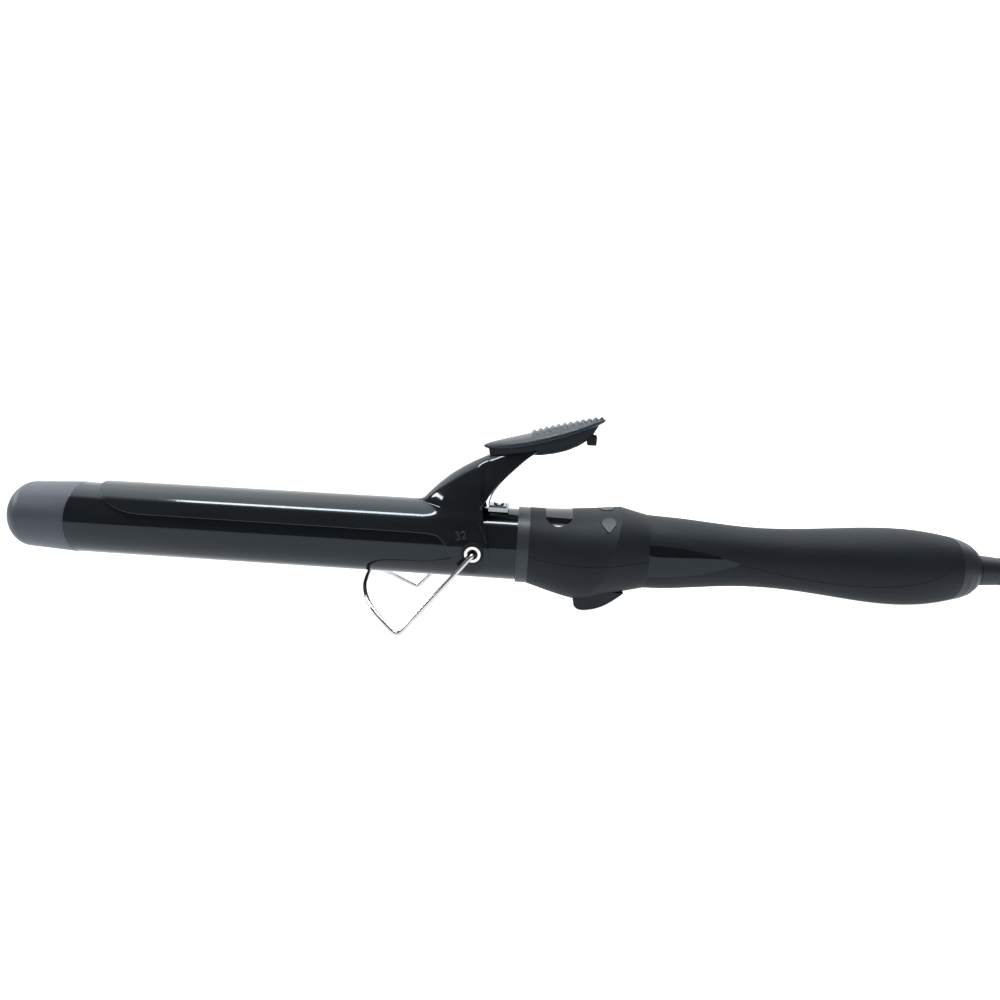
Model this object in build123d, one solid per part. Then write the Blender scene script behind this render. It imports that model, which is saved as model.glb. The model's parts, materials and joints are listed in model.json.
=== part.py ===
from build123d import *
import math
import os

# Curling iron with a 32 mm barrel, a sprung clip with a thumb lever, a wire rest and a
# swivelling mains lead. Lengths are millimetres, angles are degrees.
#
# Every piece is first made in the iron's own frame: X runs along the barrel towards the
# handle, Z is up and the origin is on the barrel's axis between the two clip pivots. The
# iron is then tipped onto its wire rest and the underside of its handle, and moved so that
# the surface it stands on is Z = 0 and the origin is at the middle of its footprint.

# ---- the pose in which the iron rests -------------------------------------------------
TILT = 4.92                    # the tip is up by this much
PIVOT_ROW_X = -18.39           # where the clip pivots end up
PIVOT_ROW_Z = 32.19

# ---- barrel ---------------------------------------------------------------------------
BARREL_R = 16.0
BARREL_WALL = 1.0
BARREL_FRONT = -179.5
BARREL_BACK = 30.0
TIP_END = -212.2
TIP_WALL = 1.8
TIP_FRONT_R = 14.85            # where the straight draft ends and the dome begins
TIP_DOME_START = -201.0
COLLAR_X = (18.6, 23.8)
COLLAR_R = 16.95
FIT = 0.05                     # radial room between pieces that slide into each other

# ---- handle ---------------------------------------------------------------------------
HANDLE_WALL = 2.2
# Rings along the head and along the grip: place, height of the ring's middle, radius, lean.
HEAD_RINGS = (
    (23.9, 0.0, 17.1, 0),
    (33.0, -1.3, 18.5, 0),
    (42.8, -2.3, 20.0, 0),
    (58.2, -0.8, 21.4, 16),
)
GRIP_RINGS = (
    (75.7, 0.6, 16.4, 0),
    (90.0, 0.6, 15.7, 0),
    (108.0, 0.9, 14.1, 0),
    (129.0, 1.0, 13.25, 0),
    (150.0, 1.0, 14.4, 0),
    (171.0, 0.9, 16.3, 0),
    (187.0, 0.9, 16.9, 0),
    (200.0, 1.1, 15.9, 0),
    (209.6, 1.5, 14.1, 0),
)
SEAM_GAP = 0.1                 # half the width of the line between the two shells
SEAM = (
    (20, 0.6), (60, -1.2), (75, 0.5), (114, 0.9), (136, -2.9),
    (165, -4.7), (188, -1.8), (203, 5.2), (210.5, 18),
)
HANDLE_AXIS_Z = 1.5            # axis of the swivel at the back

# ---- clip -----------------------------------------------------------------------------
CLIP_SHEET = 0.8
BLADE_FRONT = -171.0
BLADE_GAP_FRONT = 0.15         # between the barrel and the blade at its tip
BLADE_GAP_BACK = 1.3
EAR_R = 8.9
EAR_IN = 17.3                  # inner face of each ear, from the middle plane
PIVOT_SHANK_R = 2.4
PIVOT_HEAD_R = 3.5
WIRE_R = 1.0
WIRE_BORE_R = 1.05
SPRING_SCREW_X = 9.6
# Sections of the lever: front point, back point (both X, Z) and half width.
LEVER_SECTIONS = (
    ((-26.0, 16.0), (-1.2, 12.0), 15.0),
    ((-16.5, 25.8), (2.6, 20.4), 13.0),
    ((-6.6, 33.4), (8.2, 26.8), 11.2),
    ((3.2, 39.2), (14.4, 34.2), 9.6),
    ((13.5, 43.6), (22.6, 40.6), 8.2),
)

# ---- thumb pad ------------------------------------------------------------------------
PAD_X = (1.5, 53.7)
PAD_HALF_WIDTH = 9.5
RIB_COUNT = 12
RIB_PITCH = 2.6
RIB_START = 23.0
RIB_R = 0.6
RIB_HALF = 5.2
PAD_SCREW_X = (30.0, 42.0)
PAD_SLOPE = 0.3                # rise of the pad's underside per unit of X

# ---- controls -------------------------------------------------------------------------
LENS_X = 36.5
LENS_WIDTH = 12.0
LENS_REACH = 12.4
LENS_DEPTH = 1.4
BUTTON_X = 57.6
BUTTON_ANGLES = {"power_button": 90.0, "minus_button": 126.0, "plus_button": 54.0}
BUTTON_POINTS = {"minus_button": -1, "plus_button": 1}   # side of the teardrop's point
BUTTON_R = 3.1
BUTTON_POINT = 3.8             # from the button's middle to the middle of its small end
BUTTON_POINT_R = 1.1
BUTTON_PROUD = 0.25
BUTTON_BOTTOM_R = 15.4         # how deep a button reaches, from the head's middle
BUTTON_GAP = 0.25
BUTTON_TRAVEL = 0.5
HEAD_Z = -1.0                  # the head's middle at the buttons

# ---- swivel and strain relief ---------------------------------------------------------
END_RING_X = (209.7, 219.4)
SWIVEL_NECK_R = 8.0
SWIVEL_BORE_R = 8.06
BOOT_X = (221.0, 248.7)
BOOT_R = (6.9, 4.7)

# ---- mains lead -----------------------------------------------------------------------
CORD_D = 6.5
COIL_MID_R = 37.0
COIL_COLUMNS = 4
COIL_LAYERS = 3
COIL_CENTRE = (306.0, 12.0)
# Route of the free stretch, on the surface the iron stands on, from the boot to the coil.
LEAD_ROUTE = (
    (229.53, 0.0, 12.35),
    (241.48, 0.0, 11.32),
    (254.6, -3.5, 8.2),
    (267.0, -11.5, 4.6),
    (279.6, -22.0, 3.25),
    (292.0, -31.0, 3.25),
)
PLUG_Y = COIL_CENTRE[1] + 34.0
PLUG_Z = 26.8
PLUG_REAR = COIL_CENTRE[0] + 6.0
PLUG_LENGTH = 35.0
PLUG_PIN_LENGTH = 19.0
PLUG_PIN_R = 2.0
PLUG_PIN_SPACING = 19.0
# Route of the tail, from inside the coil up to the back of the plug.
TAIL_ROUTE = (
    (346.2, 13.9, 16.6),
    (343.9, 23.9, 18.2),
    (338.9, 32.9, 21.1),
    (331.3, 39.9, 24.0),
    (321.7, 44.3, 26.2),
    (PLUG_REAR, PLUG_Y, PLUG_Z),
)

# ---- helpers --------------------------------------------------------------------------


def tube(r_out, r_in, x0, x1, z=0.0):
    """A straight tube along X. An inner radius of 0 gives a rod."""
    plane = Plane(origin=(x0, 0, z), x_dir=(0, 1, 0), z_dir=(1, 0, 0))
    body = extrude(plane * Circle(r_out), amount=x1 - x0)
    if r_in > 0:
        body = body - extrude(plane * Circle(r_in), amount=x1 - x0)
    return body


def turned(points, z=0.0):
    """A solid turned about the X direction at height z, from a closed outline of (x, r)."""
    outline = make_face(Polyline(*[(x, 0, r + z) for x, r in points], close=True))
    return revolve(outline, axis=Axis((0, 0, z), (1, 0, 0)))


def side_plate(points, y0, y1):
    """A closed outline of (x, z), seen from the side, made solid from y0 to y1."""
    outline = make_face(Polyline(*[(x, y0, z) for x, z in points], close=True))
    return extrude(outline, amount=y1 - y0, dir=(0, 1, 0))


def block(x, y, z):
    """A box from its low and high limits along each axis."""
    size = (x[1] - x[0], y[1] - y[0], z[1] - z[0])
    middle = ((x[0] + x[1]) / 2, (y[0] + y[1]) / 2, (z[0] + z[1]) / 2)
    return Pos(*middle) * Box(*size)


def rod(centre, direction, radius, length):
    """A rod that starts at centre and runs along direction."""
    return extrude(Plane(origin=centre, z_dir=direction) * Circle(radius), amount=length)


def both_sides(shape):
    """The shape and its mirror image across the middle plane, as separate solids."""
    return Compound(children=[*shape.solids(), *mirror(shape, about=Plane.XZ).solids()])


def routed(route, radius):
    """A round tube along straight runs joined by the largest arcs that the runs allow."""
    points = [Vector(*p) for p in route]
    radii = []
    for before, corner, after in zip(points, points[1:], points[2:]):
        turn = math.radians((corner - before).get_angle(after - corner))
        run = min((corner - before).length, (after - corner).length)
        radii.append(0.45 * run / math.tan(turn / 2))
    path = FilletPolyline(*points, radius=radii)
    body = sweep(Plane(origin=path @ 0, z_dir=path % 0) * Circle(radius), path=path)
    section = math.pi * radius ** 2 * path.length
    print("radii", [round(r) for r in radii], "length", round(path.length, 1),
          "volume share", round(body.volume / section, 4))
    return body


def handle_outer(inset=0.0):
    """The handle's outer shape, or the same shape smaller by inset all round."""
    def ring(x, z, r, lean):
        across, along = math.sin(math.radians(lean)), math.cos(math.radians(lean))
        plane = Plane(origin=(x, 0, z), x_dir=(-across, 1, -along), z_dir=(along, 0, -across))
        return plane * Circle(r - inset)

    head = loft([ring(*station) for station in HEAD_RINGS])
    shoulder = loft([ring(*HEAD_RINGS[-1]), ring(*GRIP_RINGS[0])], ruled=True)
    grip = loft([ring(*station) for station in GRIP_RINGS])
    return head + shoulder + grip


def above_seam(shift=0.0):
    """Everything above the line where the two handle shells meet, moved up by shift."""
    line = Spline(*[(x, -40, z + shift) for x, z in SEAM])
    lid = Polyline(line @ 1, (230, -40, 18), (230, -40, 60), (10, -40, 60), line @ 0)
    return extrude(make_face(line + lid), amount=80, dir=(0, 1, 0))


# ---- barrel and what it holds ---------------------------------------------------------


def cool_tip():
    """Moulded cap with a slight draft, a domed end and a spigot inside the barrel."""
    r_in = BARREL_R - BARREL_WALL - FIT
    outline = Polyline((BARREL_FRONT, 0, 0), (BARREL_FRONT, 0, BARREL_R - 0.05),
                       (TIP_DOME_START, 0, TIP_FRONT_R))
    depth = TIP_DOME_START - TIP_END
    arc = [(TIP_DOME_START - depth * math.sin(math.radians(a)), 0, TIP_FRONT_R * math.cos(math.radians(a)))
           for a in (0, 30, 58, 90)]
    dome = Spline(*arc, tangents=((-1, 0, -0.03), (0, 0, -1)))
    close = Line((TIP_END, 0, 0), (BARREL_FRONT, 0, 0))
    cap = revolve(make_face(outline + dome + close), axis=Axis.X)
    hollow = turned(((BARREL_FRONT + 1, 0), (BARREL_FRONT + 1, r_in - TIP_WALL),
                     (TIP_DOME_START, TIP_FRONT_R - TIP_WALL), (TIP_END + 6, 6.0), (TIP_END + 3, 0)))
    spigot = tube(r_in, r_in - TIP_WALL, BARREL_FRONT, BARREL_FRONT + 7)
    return cap - hollow - tube(r_in - TIP_WALL, 0, BARREL_FRONT - 2, BARREL_FRONT + 2) + spigot


def barrel_tube():
    """Lacquered tube with the two holes for the clip pivots and one for the spring's screw."""
    body = tube(BARREL_R, BARREL_R - BARREL_WALL, BARREL_FRONT, BARREL_BACK)
    body = body - rod((0, -20, 0), (0, 1, 0), PIVOT_SHANK_R, 40)
    return body - rod((SPRING_SCREW_X, 0, 10), (0, 0, 1), 1.3, 10)


def tip_insulator():
    """Fibre disc between the heater and the cool tip."""
    return tube(12.9, 2.0, BARREL_FRONT + 2, BARREL_FRONT + 4)


def heater_spreader(side):
    """Half-round aluminium shoe that presses the heating strip against the barrel's wall."""
    shoe = tube(14.9, 12.9, -168, -22) + block((-168, -22), (-14, 14), (2.3, 4.4))
    shoe = shoe & block((-168, -22), (-15, 15), (2.3, 15))
    return shoe if side > 0 else mirror(shoe, about=Plane.XY)


def heater_strip():
    """Flat heating strip in its insulating sleeve."""
    return block((-164, -26), (-11, 11), (-2.2, 2.2))


def heater_terminals():
    """Two metal tags at the strip's back end."""
    tag = block((-25.9, -18), (-8, -4), (-0.4, 0.4))
    return both_sides(tag)


def temperature_sensor():
    """Glass bead sensor in the hollow of the upper shoe."""
    return tube(1.3, 0, -60, -50, z=6.0)


def thermal_fuse():
    """One-shot fuse beside the strip's terminals."""
    return tube(2.0, 0, -16, -5, z=9.0)


def barrel_bush():
    """Heat-resisting bush that carries the barrel's back end in the handle."""
    return tube(BARREL_R - BARREL_WALL - FIT, 11.0, 14.5, BARREL_BACK)


def barrel_collar():
    """Satin ring where the barrel enters the handle."""
    return tube(COLLAR_R, BARREL_R + FIT, *COLLAR_X)


def heater_leads():
    """Two insulated leads from the strip to the control board."""
    lead = routed(((-17.9, -6, 0), (-5, -6.5, 0.4), (10, -5.5, 0.2), (26, -6, 1.5), (38, -6, 2.6)), 0.9)
    return both_sides(lead)


# ---- clip -----------------------------------------------------------------------------


def clip_blade():
    """Curved blade over the barrel, its saddle and the two flat ears that it pivots on."""
    r_front = BARREL_R + BLADE_GAP_FRONT
    r_back = BARREL_R + BLADE_GAP_BACK
    sheet = turned(((BLADE_FRONT, r_front), (BLADE_FRONT, r_front + CLIP_SHEET),
                    (9, r_back + CLIP_SHEET), (9, r_back)))
    front = Spline((-171, -30, 19), (-169.2, -30, 16.9), (-165, -30, 13.2), (-158, -30, 8.8),
                   (-146, -30, 7.2))
    low = Line((-146, -30, 7.2), (-22, -30, 7.0))
    neck = Spline((-22, -30, 7.0), (-16.2, -30, 6.4), (-11.2, -30, 1.6), (-9.4, -30, 0))
    back = Polyline((-9.4, -30, 0), (7.0, -30, 0), (6.5, -30, 1.8), (4.6, -30, 5.9), (2.4, -30, 9.6),
                    (0.8, -30, 13.0), (-1.4, -30, 15.2), (-1.4, -30, 19), (-171, -30, 19))
    outline = make_face(front + low + neck + back)
    saddle = sheet & extrude(outline, amount=60, dir=(0, 1, 0))
    ear = side_plate(((-9.4, 0), (-10.4, 3.6), (3, 3.6), (5.8, 3.6), (7, 0)), -EAR_IN - CLIP_SHEET, -EAR_IN)
    ear = ear + rod((0, -EAR_IN - CLIP_SHEET, 0), (0, 1, 0), EAR_R, CLIP_SHEET)
    body = saddle + ear + mirror(ear, about=Plane.XZ)
    return body - rod((0, -20, 0), (0, 1, 0), PIVOT_SHANK_R + FIT, 40)


def lever_form(inset, overrun):
    """The lever's outer shape, or its inside when inset is the sheet's thickness."""
    sections = []
    for (fx, fz), (bx, bz), half in LEVER_SECTIONS:
        outward = Vector(fx - bx, 0, fz - bz)
        depth = outward.length - inset
        width = half - inset
        plane = Plane(origin=(bx, 0, bz), x_dir=outward, z_dir=outward.cross(Vector(0, 1, 0)))
        flank = 0.82 * width
        arch = Spline((0, -width), (0.66 * depth, -flank), (depth, 0), (0.66 * depth, flank), (0, width))
        tail = Line((0, width), (0, -width))
        if overrun:
            tail = Polyline((0, width), (-overrun, width), (-overrun, -width), (0, -width))
        sections.append(plane * make_face(arch + tail))
    return loft(sections)


def thumb_lever():
    """Pressed channel that rises from the saddle to the thumb pad, open towards the handle."""
    channel = lever_form(0, 0) - lever_form(CLIP_SHEET + 0.1, 2.0)
    r_back = BARREL_R + BLADE_GAP_BACK + CLIP_SHEET
    under = turned(((-175, 0), (-175, BARREL_R + BLADE_GAP_FRONT + CLIP_SHEET), (9, r_back), (9, 0)))
    channel = channel - under - block((-60, 40), (-30, 30), (-10, 15.2))
    return max(channel.solids(), key=lambda s: s.volume)


def pad_plan(half):
    """The pad's pointed outline from above, as a tall prism."""
    low, high = PAD_X
    near = ThreePointArc((low, 0, 30), ((low + high) / 2, -half, 30), (high, 0, 30))
    far = ThreePointArc((high, 0, 30), ((low + high) / 2, half, 30), (low, 0, 30))
    return extrude(make_face(near + far), amount=35, dir=(0, 0, 1))


def pad_screw(x, head_r, shank_r, sink, reach):
    """A screw, or the room for one, that stands upright through the two halves of the pad."""
    z = 44.6 + PAD_SLOPE * (x - PAD_SCREW_X[0])
    return rod((x, 0, z - sink), (0, 0, 1), head_r, sink) + rod((x, 0, z - 0.1), (0, 0, 1), shank_r, reach)


def pad_screw_room():
    """Holes for both pad screws, open below."""
    first, second = (pad_screw(x, 1.9, 1.0, 8.0, 4.4) for x in PAD_SCREW_X)
    return first + second


def thumb_pad():
    """Ribbed thumb pad, pointed at both ends."""
    top = Spline((1.5, -15, 44.0), (12.3, -15, 47.5), (29.8, -15, 52.9), (49.9, -15, 57.5), (53.7, -15, 57.6))
    rim = Spline((53.7, -15, 57.6), (36.6, -15, 51.0), (17.5, -15, 45.4), (1.5, -15, 43.6))
    side = extrude(make_face(top + rim + Line((1.5, -15, 43.6), (1.5, -15, 44.0))), amount=30, dir=(0, 1, 0))
    body = side & pad_plan(PAD_HALF_WIDTH)
    for i in range(RIB_COUNT):
        x = RIB_START + i * RIB_PITCH
        half = min(RIB_HALF, 0.7 * PAD_HALF_WIDTH * (1 - ((x - 27.6) / 26.1) ** 2))
        z = 51.25 + 0.245 * (x - RIB_START)
        body = body + rod((x, -half, z), (0, 1, 0), RIB_R, 2 * half)
    return body - pad_screw_room()


def thumb_pad_base():
    """Lower half of the pad, a shallow housing that takes the lever's end."""
    roof = Spline((51.5, -15, 56.3), (36.6, -15, 50.95), (17.5, -15, 45.35), (4.0, -15, 43.6))
    floor = Polyline((4.0, -15, 43.6), (4.4, -15, 39.4), (6.6, -15, 38.8), (11, -15, 39.9),
                     (21.7, -15, 41.4), (26.7, -15, 41.4), (32.6, -15, 42.6), (42.3, -15, 45.9),
                     (49.4, -15, 50.0), (51.5, -15, 56.3))
    catch = side_plate(((47.5, 46.6), (50.2, 46.4), (50.6, 50.4), (47.5, 50.4)), -2, 2)
    body = extrude(make_face(roof + floor), amount=30, dir=(0, 1, 0)) & pad_plan(PAD_HALF_WIDTH - 1.2)
    body = body - lever_form(-0.06, 3.0) + catch
    body = max((body - thumb_pad()).solids(), key=lambda s: s.volume)
    return body - pad_screw_room()


def pad_screws():
    """Two small screws that hold the pad and its base together."""
    return Compound(children=[s for x in PAD_SCREW_X for s in pad_screw(x, 1.8, 0.95, 1.2, 4.2).solids()])


def pivot_studs():
    """Hollow chromed studs, one each side, that the clip turns on and the wire rest plugs into."""
    stud = rod((0, -13.2, 0), (0, -1, 0), PIVOT_SHANK_R - 0.02, 5.4)
    stud = stud + rod((0, -18.75, 0), (0, 1, 0), PIVOT_SHANK_R - 0.02, 0.4)
    stud = stud + rod((0, -18.65, 0), (0, -1, 0), PIVOT_HEAD_R, 1.3)
    stud = stud - rod((0, -19.1, 0), (0, -1, 0), 2.3, 1.0)
    return both_sides(stud - rod((0, -21, 0), (0, 1, 0), WIRE_BORE_R, 7.0))


def pivot_washers():
    """Thin dark washers between each ear and the head of its stud."""
    ring = rod((0, -EAR_IN - CLIP_SHEET - 0.02, 0), (0, -1, 0), 4.9, 0.45)
    return both_sides(ring - rod((0, -21, 0), (0, 1, 0), PIVOT_SHANK_R + 0.02, 10))


def stand_wire():
    """Bent wire rest: two splayed feet joined by a stretch that bears on the barrel's underside."""
    half = (
        (0, -15.4, 0), (0, -21.6, 0), (-29.4, -29.8, -34.4),
        (-42.5, -23.5, -25.8), (-47.6, -14.0, -20.6), (-47.8, -5.0, -17.2),
    )
    route = list(half) + [(x, -y, z) for x, y, z in reversed(half)]
    radii = [1.6, 2.2, 7.0, 9.0, 6.0, 6.0, 9.0, 7.0, 2.2, 1.6]
    path = FilletPolyline(*[Vector(*p) for p in route], radius=radii)
    return sweep(Plane(origin=path @ 0, z_dir=path % 0) * Circle(WIRE_R), path=path)


def lever_spring():
    """Leaf spring from the barrel's top up the mouth of the lever."""
    points = ((13.2, 17.7), (5.5, 17.7), (7.0, 24.4), (12.4, 31.6), (19.4, 38.4))
    path = FilletPolyline(*[Vector(x, 0, z) for x, z in points], radius=[1.4, 9.0, 20.0])
    section = Plane(origin=path @ 0, z_dir=path % 0, x_dir=(0, 1, 0)) * Rectangle(7.0, 0.6)
    return sweep(section, path=path) - rod((SPRING_SCREW_X, 0, 10), (0, 0, 1), 1.3, 9)


def spring_plate():
    """Small steel plate that beds the spring on the barrel."""
    plate = block((5.2, 13.8), (-4.2, 4.2), (15.0, 17.38)) - tube(BARREL_R + 0.02, 0, 0, 20)
    lip = block((13.3, 14.1), (-4.2, 4.2), (16.6, 18.6)) - tube(BARREL_R + 0.02, 0, 0, 20)
    return plate + lip - rod((SPRING_SCREW_X, 0, 10), (0, 0, 1), 1.3, 9)


def spring_screw():
    """Pan-head screw that holds the spring and its plate to the barrel."""
    head = rod((SPRING_SCREW_X, 0, 18.02), (0, 0, 1), 2.3, 0.9)
    return head + rod((SPRING_SCREW_X, 0, 13.4), (0, 0, 1), 1.25, 5.0)


# ---- handle ---------------------------------------------------------------------------


def button_form(name, gap=0.0, bottom=BUTTON_BOTTOM_R, top=30.0):
    """Teardrop prism of one button, pointing out of the head at its own angle."""
    angle = math.radians(BUTTON_ANGLES[name])
    out = Vector(0, math.cos(angle), math.sin(angle))
    plane = Plane(origin=Vector(BUTTON_X, 0, HEAD_Z) + out * bottom, x_dir=(1, 0, 0), z_dir=out)
    face = Circle(BUTTON_R + gap)
    if name in BUTTON_POINTS:
        side = BUTTON_POINTS[name]
        lean = math.asin((BUTTON_R - BUTTON_POINT_R) / BUTTON_POINT)
        wide, narrow = BUTTON_R + gap, BUTTON_POINT_R + gap
        corners = [
            (wide * math.cos(lean), wide * math.sin(lean)),
            (narrow * math.cos(lean), BUTTON_POINT + narrow * math.sin(lean)),
        ]
        corners += [(-x, y) for x, y in reversed(corners)]
        face = face + Pos(0, side * BUTTON_POINT) * Circle(narrow)
        face = face + make_face(Polyline(*[(x, side * y) for x, y in corners], close=True))
    return extrude(plane * face, amount=top - bottom)


def button(name):
    """One button, its outer face slightly proud of the handle."""
    return button_form(name) & handle_outer(-BUTTON_PROUD)


def lens_form(gap=0.0):
    """Stadium prism, across the top of the head, for the display window."""
    outline = SlotOverall(2 * LENS_REACH + 2 * gap, LENS_WIDTH + 2 * gap, rotation=90)
    return extrude(Plane(origin=(LENS_X, 0, 5)) * outline, amount=25)


def inlay_form(side, gap=0.0):
    """Pointed teardrop prism of a side inlay."""
    back, tip = 75.4 - gap, (115.4 + gap, 0, 1.3)
    top = ThreePointArc((back, 0, 7.4 + gap), (98, 0, 5.6 + gap), tip)
    low = ThreePointArc(tip, (97, 0, -4.6 - gap), (back, 0, -6.9 - gap))
    face = make_face(top + low + Line((back, 0, -6.9 - gap), (back, 0, 7.4 + gap)))
    return extrude(face, amount=30, dir=(0, side, 0))


def handle_shell():
    """The whole hollow handle, before it is parted into two shells."""
    shell = handle_outer() - handle_outer(HANDLE_WALL) - tube(BARREL_R + FIT, 0, 20, BARREL_BACK + FIT)
    shell = shell - (lens_form(0.15) - handle_outer(LENS_DEPTH)) - lens_form(-2.0)
    for name in BUTTON_ANGLES:
        shell = shell - button_form(name, gap=BUTTON_GAP)
    for side in (-1, 1):
        shell = shell - (inlay_form(side, 0.1) - handle_outer(1.2))
    return shell


def handle_screw_places():
    """Where the screws that close the handle are."""
    return ((72.0, 0.6), (136.0, 0.6), (176.0, 0.6))


def handle_shells():
    """The upper and lower shells, with their screw posts."""
    shell = handle_shell()
    inner = handle_outer(HANDLE_WALL - 0.3)
    upper = shell & above_seam(SEAM_GAP)
    lower = shell - above_seam(-SEAM_GAP)
    for x, z in handle_screw_places():
        upper = upper + (rod((x, 0, z + 0.05), (0, 0, 1), 3.2, 30) & inner)
        lower = lower + (rod((x, 0, z), (0, 0, -1), 3.6, 30) & inner)
        upper = upper - rod((x, 0, -5), (0, 0, 1), 1.3, 13)
        lower = lower - rod((x, 0, -30), (0, 0, 1), 1.55, 40) - rod((x, 0, -30), (0, 0, 1), 2.8, 23.6)
    return max(upper.solids(), key=lambda s: s.volume), max(lower.solids(), key=lambda s: s.volume)


def handle_screws():
    """Three screws that close the handle from below."""
    screws = []
    for x, _ in handle_screw_places():
        screw = rod((x, 0, -6.45), (0, 0, -1), 2.6, 1.6) + rod((x, 0, -6.6), (0, 0, 1), 1.25, 14)
        screws += screw.solids()
    return Compound(children=screws)


def finger_rest():
    """Rubber rest under the head that the forefinger bears on."""
    front = Polyline((67, -9, -17), (44.4, -9, -17), (45.5, -9, -24.0))
    low = Spline((45.5, -9, -24.0), (47.2, -9, -25.6), (51.5, -9, -25.8), (57, -9, -24.2), (62, -9, -21.2),
                 (67, -9, -17))
    return extrude(make_face(front + low), amount=18, dir=(0, 1, 0)) - handle_outer()


def display_module():
    """Numeric display under the window."""
    return block((31.5, 41.5), (-7.5, 7.5), (9.9, 12.9))


def control_board():
    """Printed board along the top of the handle's neck."""
    board = block((37, 66), (-9, 9), (5.4, 7.0)) + block((66, 116), (-7, 7), (5.4, 7.0))
    return board - rod((72, 0, 0), (0, 0, 1), 3.5, 12)


def display_posts():
    """Four pins that join the display to the board."""
    posts = [rod((39.5, y, 7.0), (0, 0, 1), 0.4, 2.9) for y in (-6, -2, 2, 6)]
    return Compound(children=[s for post in posts for s in post.solids()])


def board_relay():
    """Switching element on the board."""
    return block((86, 98), (-5, 5), (7.0, 11.4))


def switch_cradle():
    """Moulded arch on the board that carries the three switches under their buttons."""
    ring = tube(13.4, 11.9, 52.6, 62.6, z=HEAD_Z)
    feet = block((52.6, 62.6), (-11.5, 11.5), (7.0, 7.6)) & tube(13.4, 0, 52.6, 62.6, z=HEAD_Z)
    return ring & block((50, 65), (-15, 15), (7.0, 20)) + feet


def tact_switches():
    """Three push switches, one under each button."""
    parts = []
    for angle in BUTTON_ANGLES.values():
        out = Vector(0, math.cos(math.radians(angle)), math.sin(math.radians(angle)))
        base = Vector(BUTTON_X, 0, HEAD_Z) + out * 13.42
        parts += rod(base, out, 1.6, BUTTON_BOTTOM_R - BUTTON_TRAVEL - 0.1 - 13.42).solids()
    return Compound(children=parts)


# ---- swivel ---------------------------------------------------------------------------


def end_ring():
    """Ring that closes the handle's back and guides the swivel."""
    x0, x1 = END_RING_X
    ring = ((x0, SWIVEL_BORE_R), (x0, 14.05), (x0 + 4, 13.0), (x0 + 7.3, 11.6), (x1, 9.8),
            (x1, SWIVEL_BORE_R))
    return turned(ring, z=HANDLE_AXIS_Z)


def swivel_collar():
    """Turning collar: a flange inside the handle and a neck through the end ring."""
    flange = tube(10.4, 3.4, 205.0, 209.4, z=HANDLE_AXIS_Z)
    neck = tube(SWIVEL_NECK_R, 3.4, 209.4, BOOT_X[0], z=HANDLE_AXIS_Z)
    return flange + neck + tube(4.2, 3.4, 186.5, 205.0, z=HANDLE_AXIS_Z)


def swivel_plate():
    """Fixed plate that keeps the swivel's flange against the end ring."""
    return tube(12.2, 4.26, 202.4, 204.7, z=HANDLE_AXIS_Z)


def slip_rings():
    """Two brass rings that carry the current across the swivel."""
    rings = [tube(5.0, 4.25, x, x + 2.4, z=HANDLE_AXIS_Z) for x in (191.0, 197.0)]
    return Compound(children=[s for ring in rings for s in ring.solids()])


def brush_contacts():
    """Two fixed spring contacts that bear on the slip rings."""
    parts = [block((x + 0.5, x + 1.9), (5.1, 5.7), (-3.5, 6.5)) for x in (191.0, 197.0)]
    return Compound(children=[s for part in parts for s in part.solids()])


def cord_boot():
    """Tapered strain relief with shallow rings."""
    x0, x1 = BOOT_X
    r0, r1 = BOOT_R
    outline = [(x0, 0), (x0, r0)]
    rings = 5
    for i in range(rings):
        x = x0 + 9 + i * 4.2
        r = r0 + (r1 - r0) * (x - x0) / (x1 - x0)
        outline += [(x, r), (x, r - 0.7), (x + 1.2, r - 0.7), (x + 1.2, r - 0.15)]
    return turned(outline + [(x1, r1), (x1, 0)], z=HANDLE_AXIS_Z)


# ---- mains lead, in the row's frame ---------------------------------------------------


def bundle(radius_in, radius_out, height):
    """Upright ring round the coil's middle."""
    bottom = (Align.CENTER, Align.CENTER, Align.MIN)
    ring = Cylinder(radius_out, height, align=bottom) - Cylinder(radius_in, height, align=bottom)
    return Pos(COIL_CENTRE[0], COIL_CENTRE[1], 0) * ring


def cord_tie():
    """Strap round the coil's bundle."""
    cx, cy = COIL_CENTRE
    mid = cx + COIL_MID_R
    half = CORD_D * COIL_COLUMNS / 2
    height = CORD_D * COIL_LAYERS
    band = block((mid - half - 0.9, mid + half + 0.9), (cy - 14, cy - 4), (0, height + 0.9))
    return band - block((mid - half - 0.1, mid + half + 0.1), (cy - 15, cy - 3), (0.8, height + 0.1))


def cord_coil():
    """Outer shape of the coil that the spare length is wound into."""
    half = CORD_D * COIL_COLUMNS / 2
    return bundle(COIL_MID_R - half, COIL_MID_R + half, CORD_D * COIL_LAYERS) - cord_tie()


def plug_body():
    """Flat two-pin plug, lying on the coil."""
    stations = ((0, 6.0, 5.4), (8, 8.5, 6.4), (24, 16.5, 6.8), (PLUG_LENGTH, 17.4, 6.8))
    faces = []
    for along, half_w, half_h in stations:
        plane = Plane(origin=(PLUG_REAR - along, PLUG_Y, PLUG_Z), x_dir=(0, 1, 0), z_dir=(-1, 0, 0))
        faces.append(plane * RectangleRounded(2 * half_w, 2 * half_h, 4.6))
    return loft(faces, ruled=True)


def plug_pins():
    """Two round plug pins."""
    x = PLUG_REAR - PLUG_LENGTH
    places = [(x, PLUG_Y + side * PLUG_PIN_SPACING / 2, PLUG_Z) for side in (-1, 1)]
    pins = [rod(place, (-1, 0, 0), PLUG_PIN_R, PLUG_PIN_LENGTH) for place in places]
    return Compound(children=[s for pin in pins for s in pin.solids()])


# ---- assembly -------------------------------------------------------------------------


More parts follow.
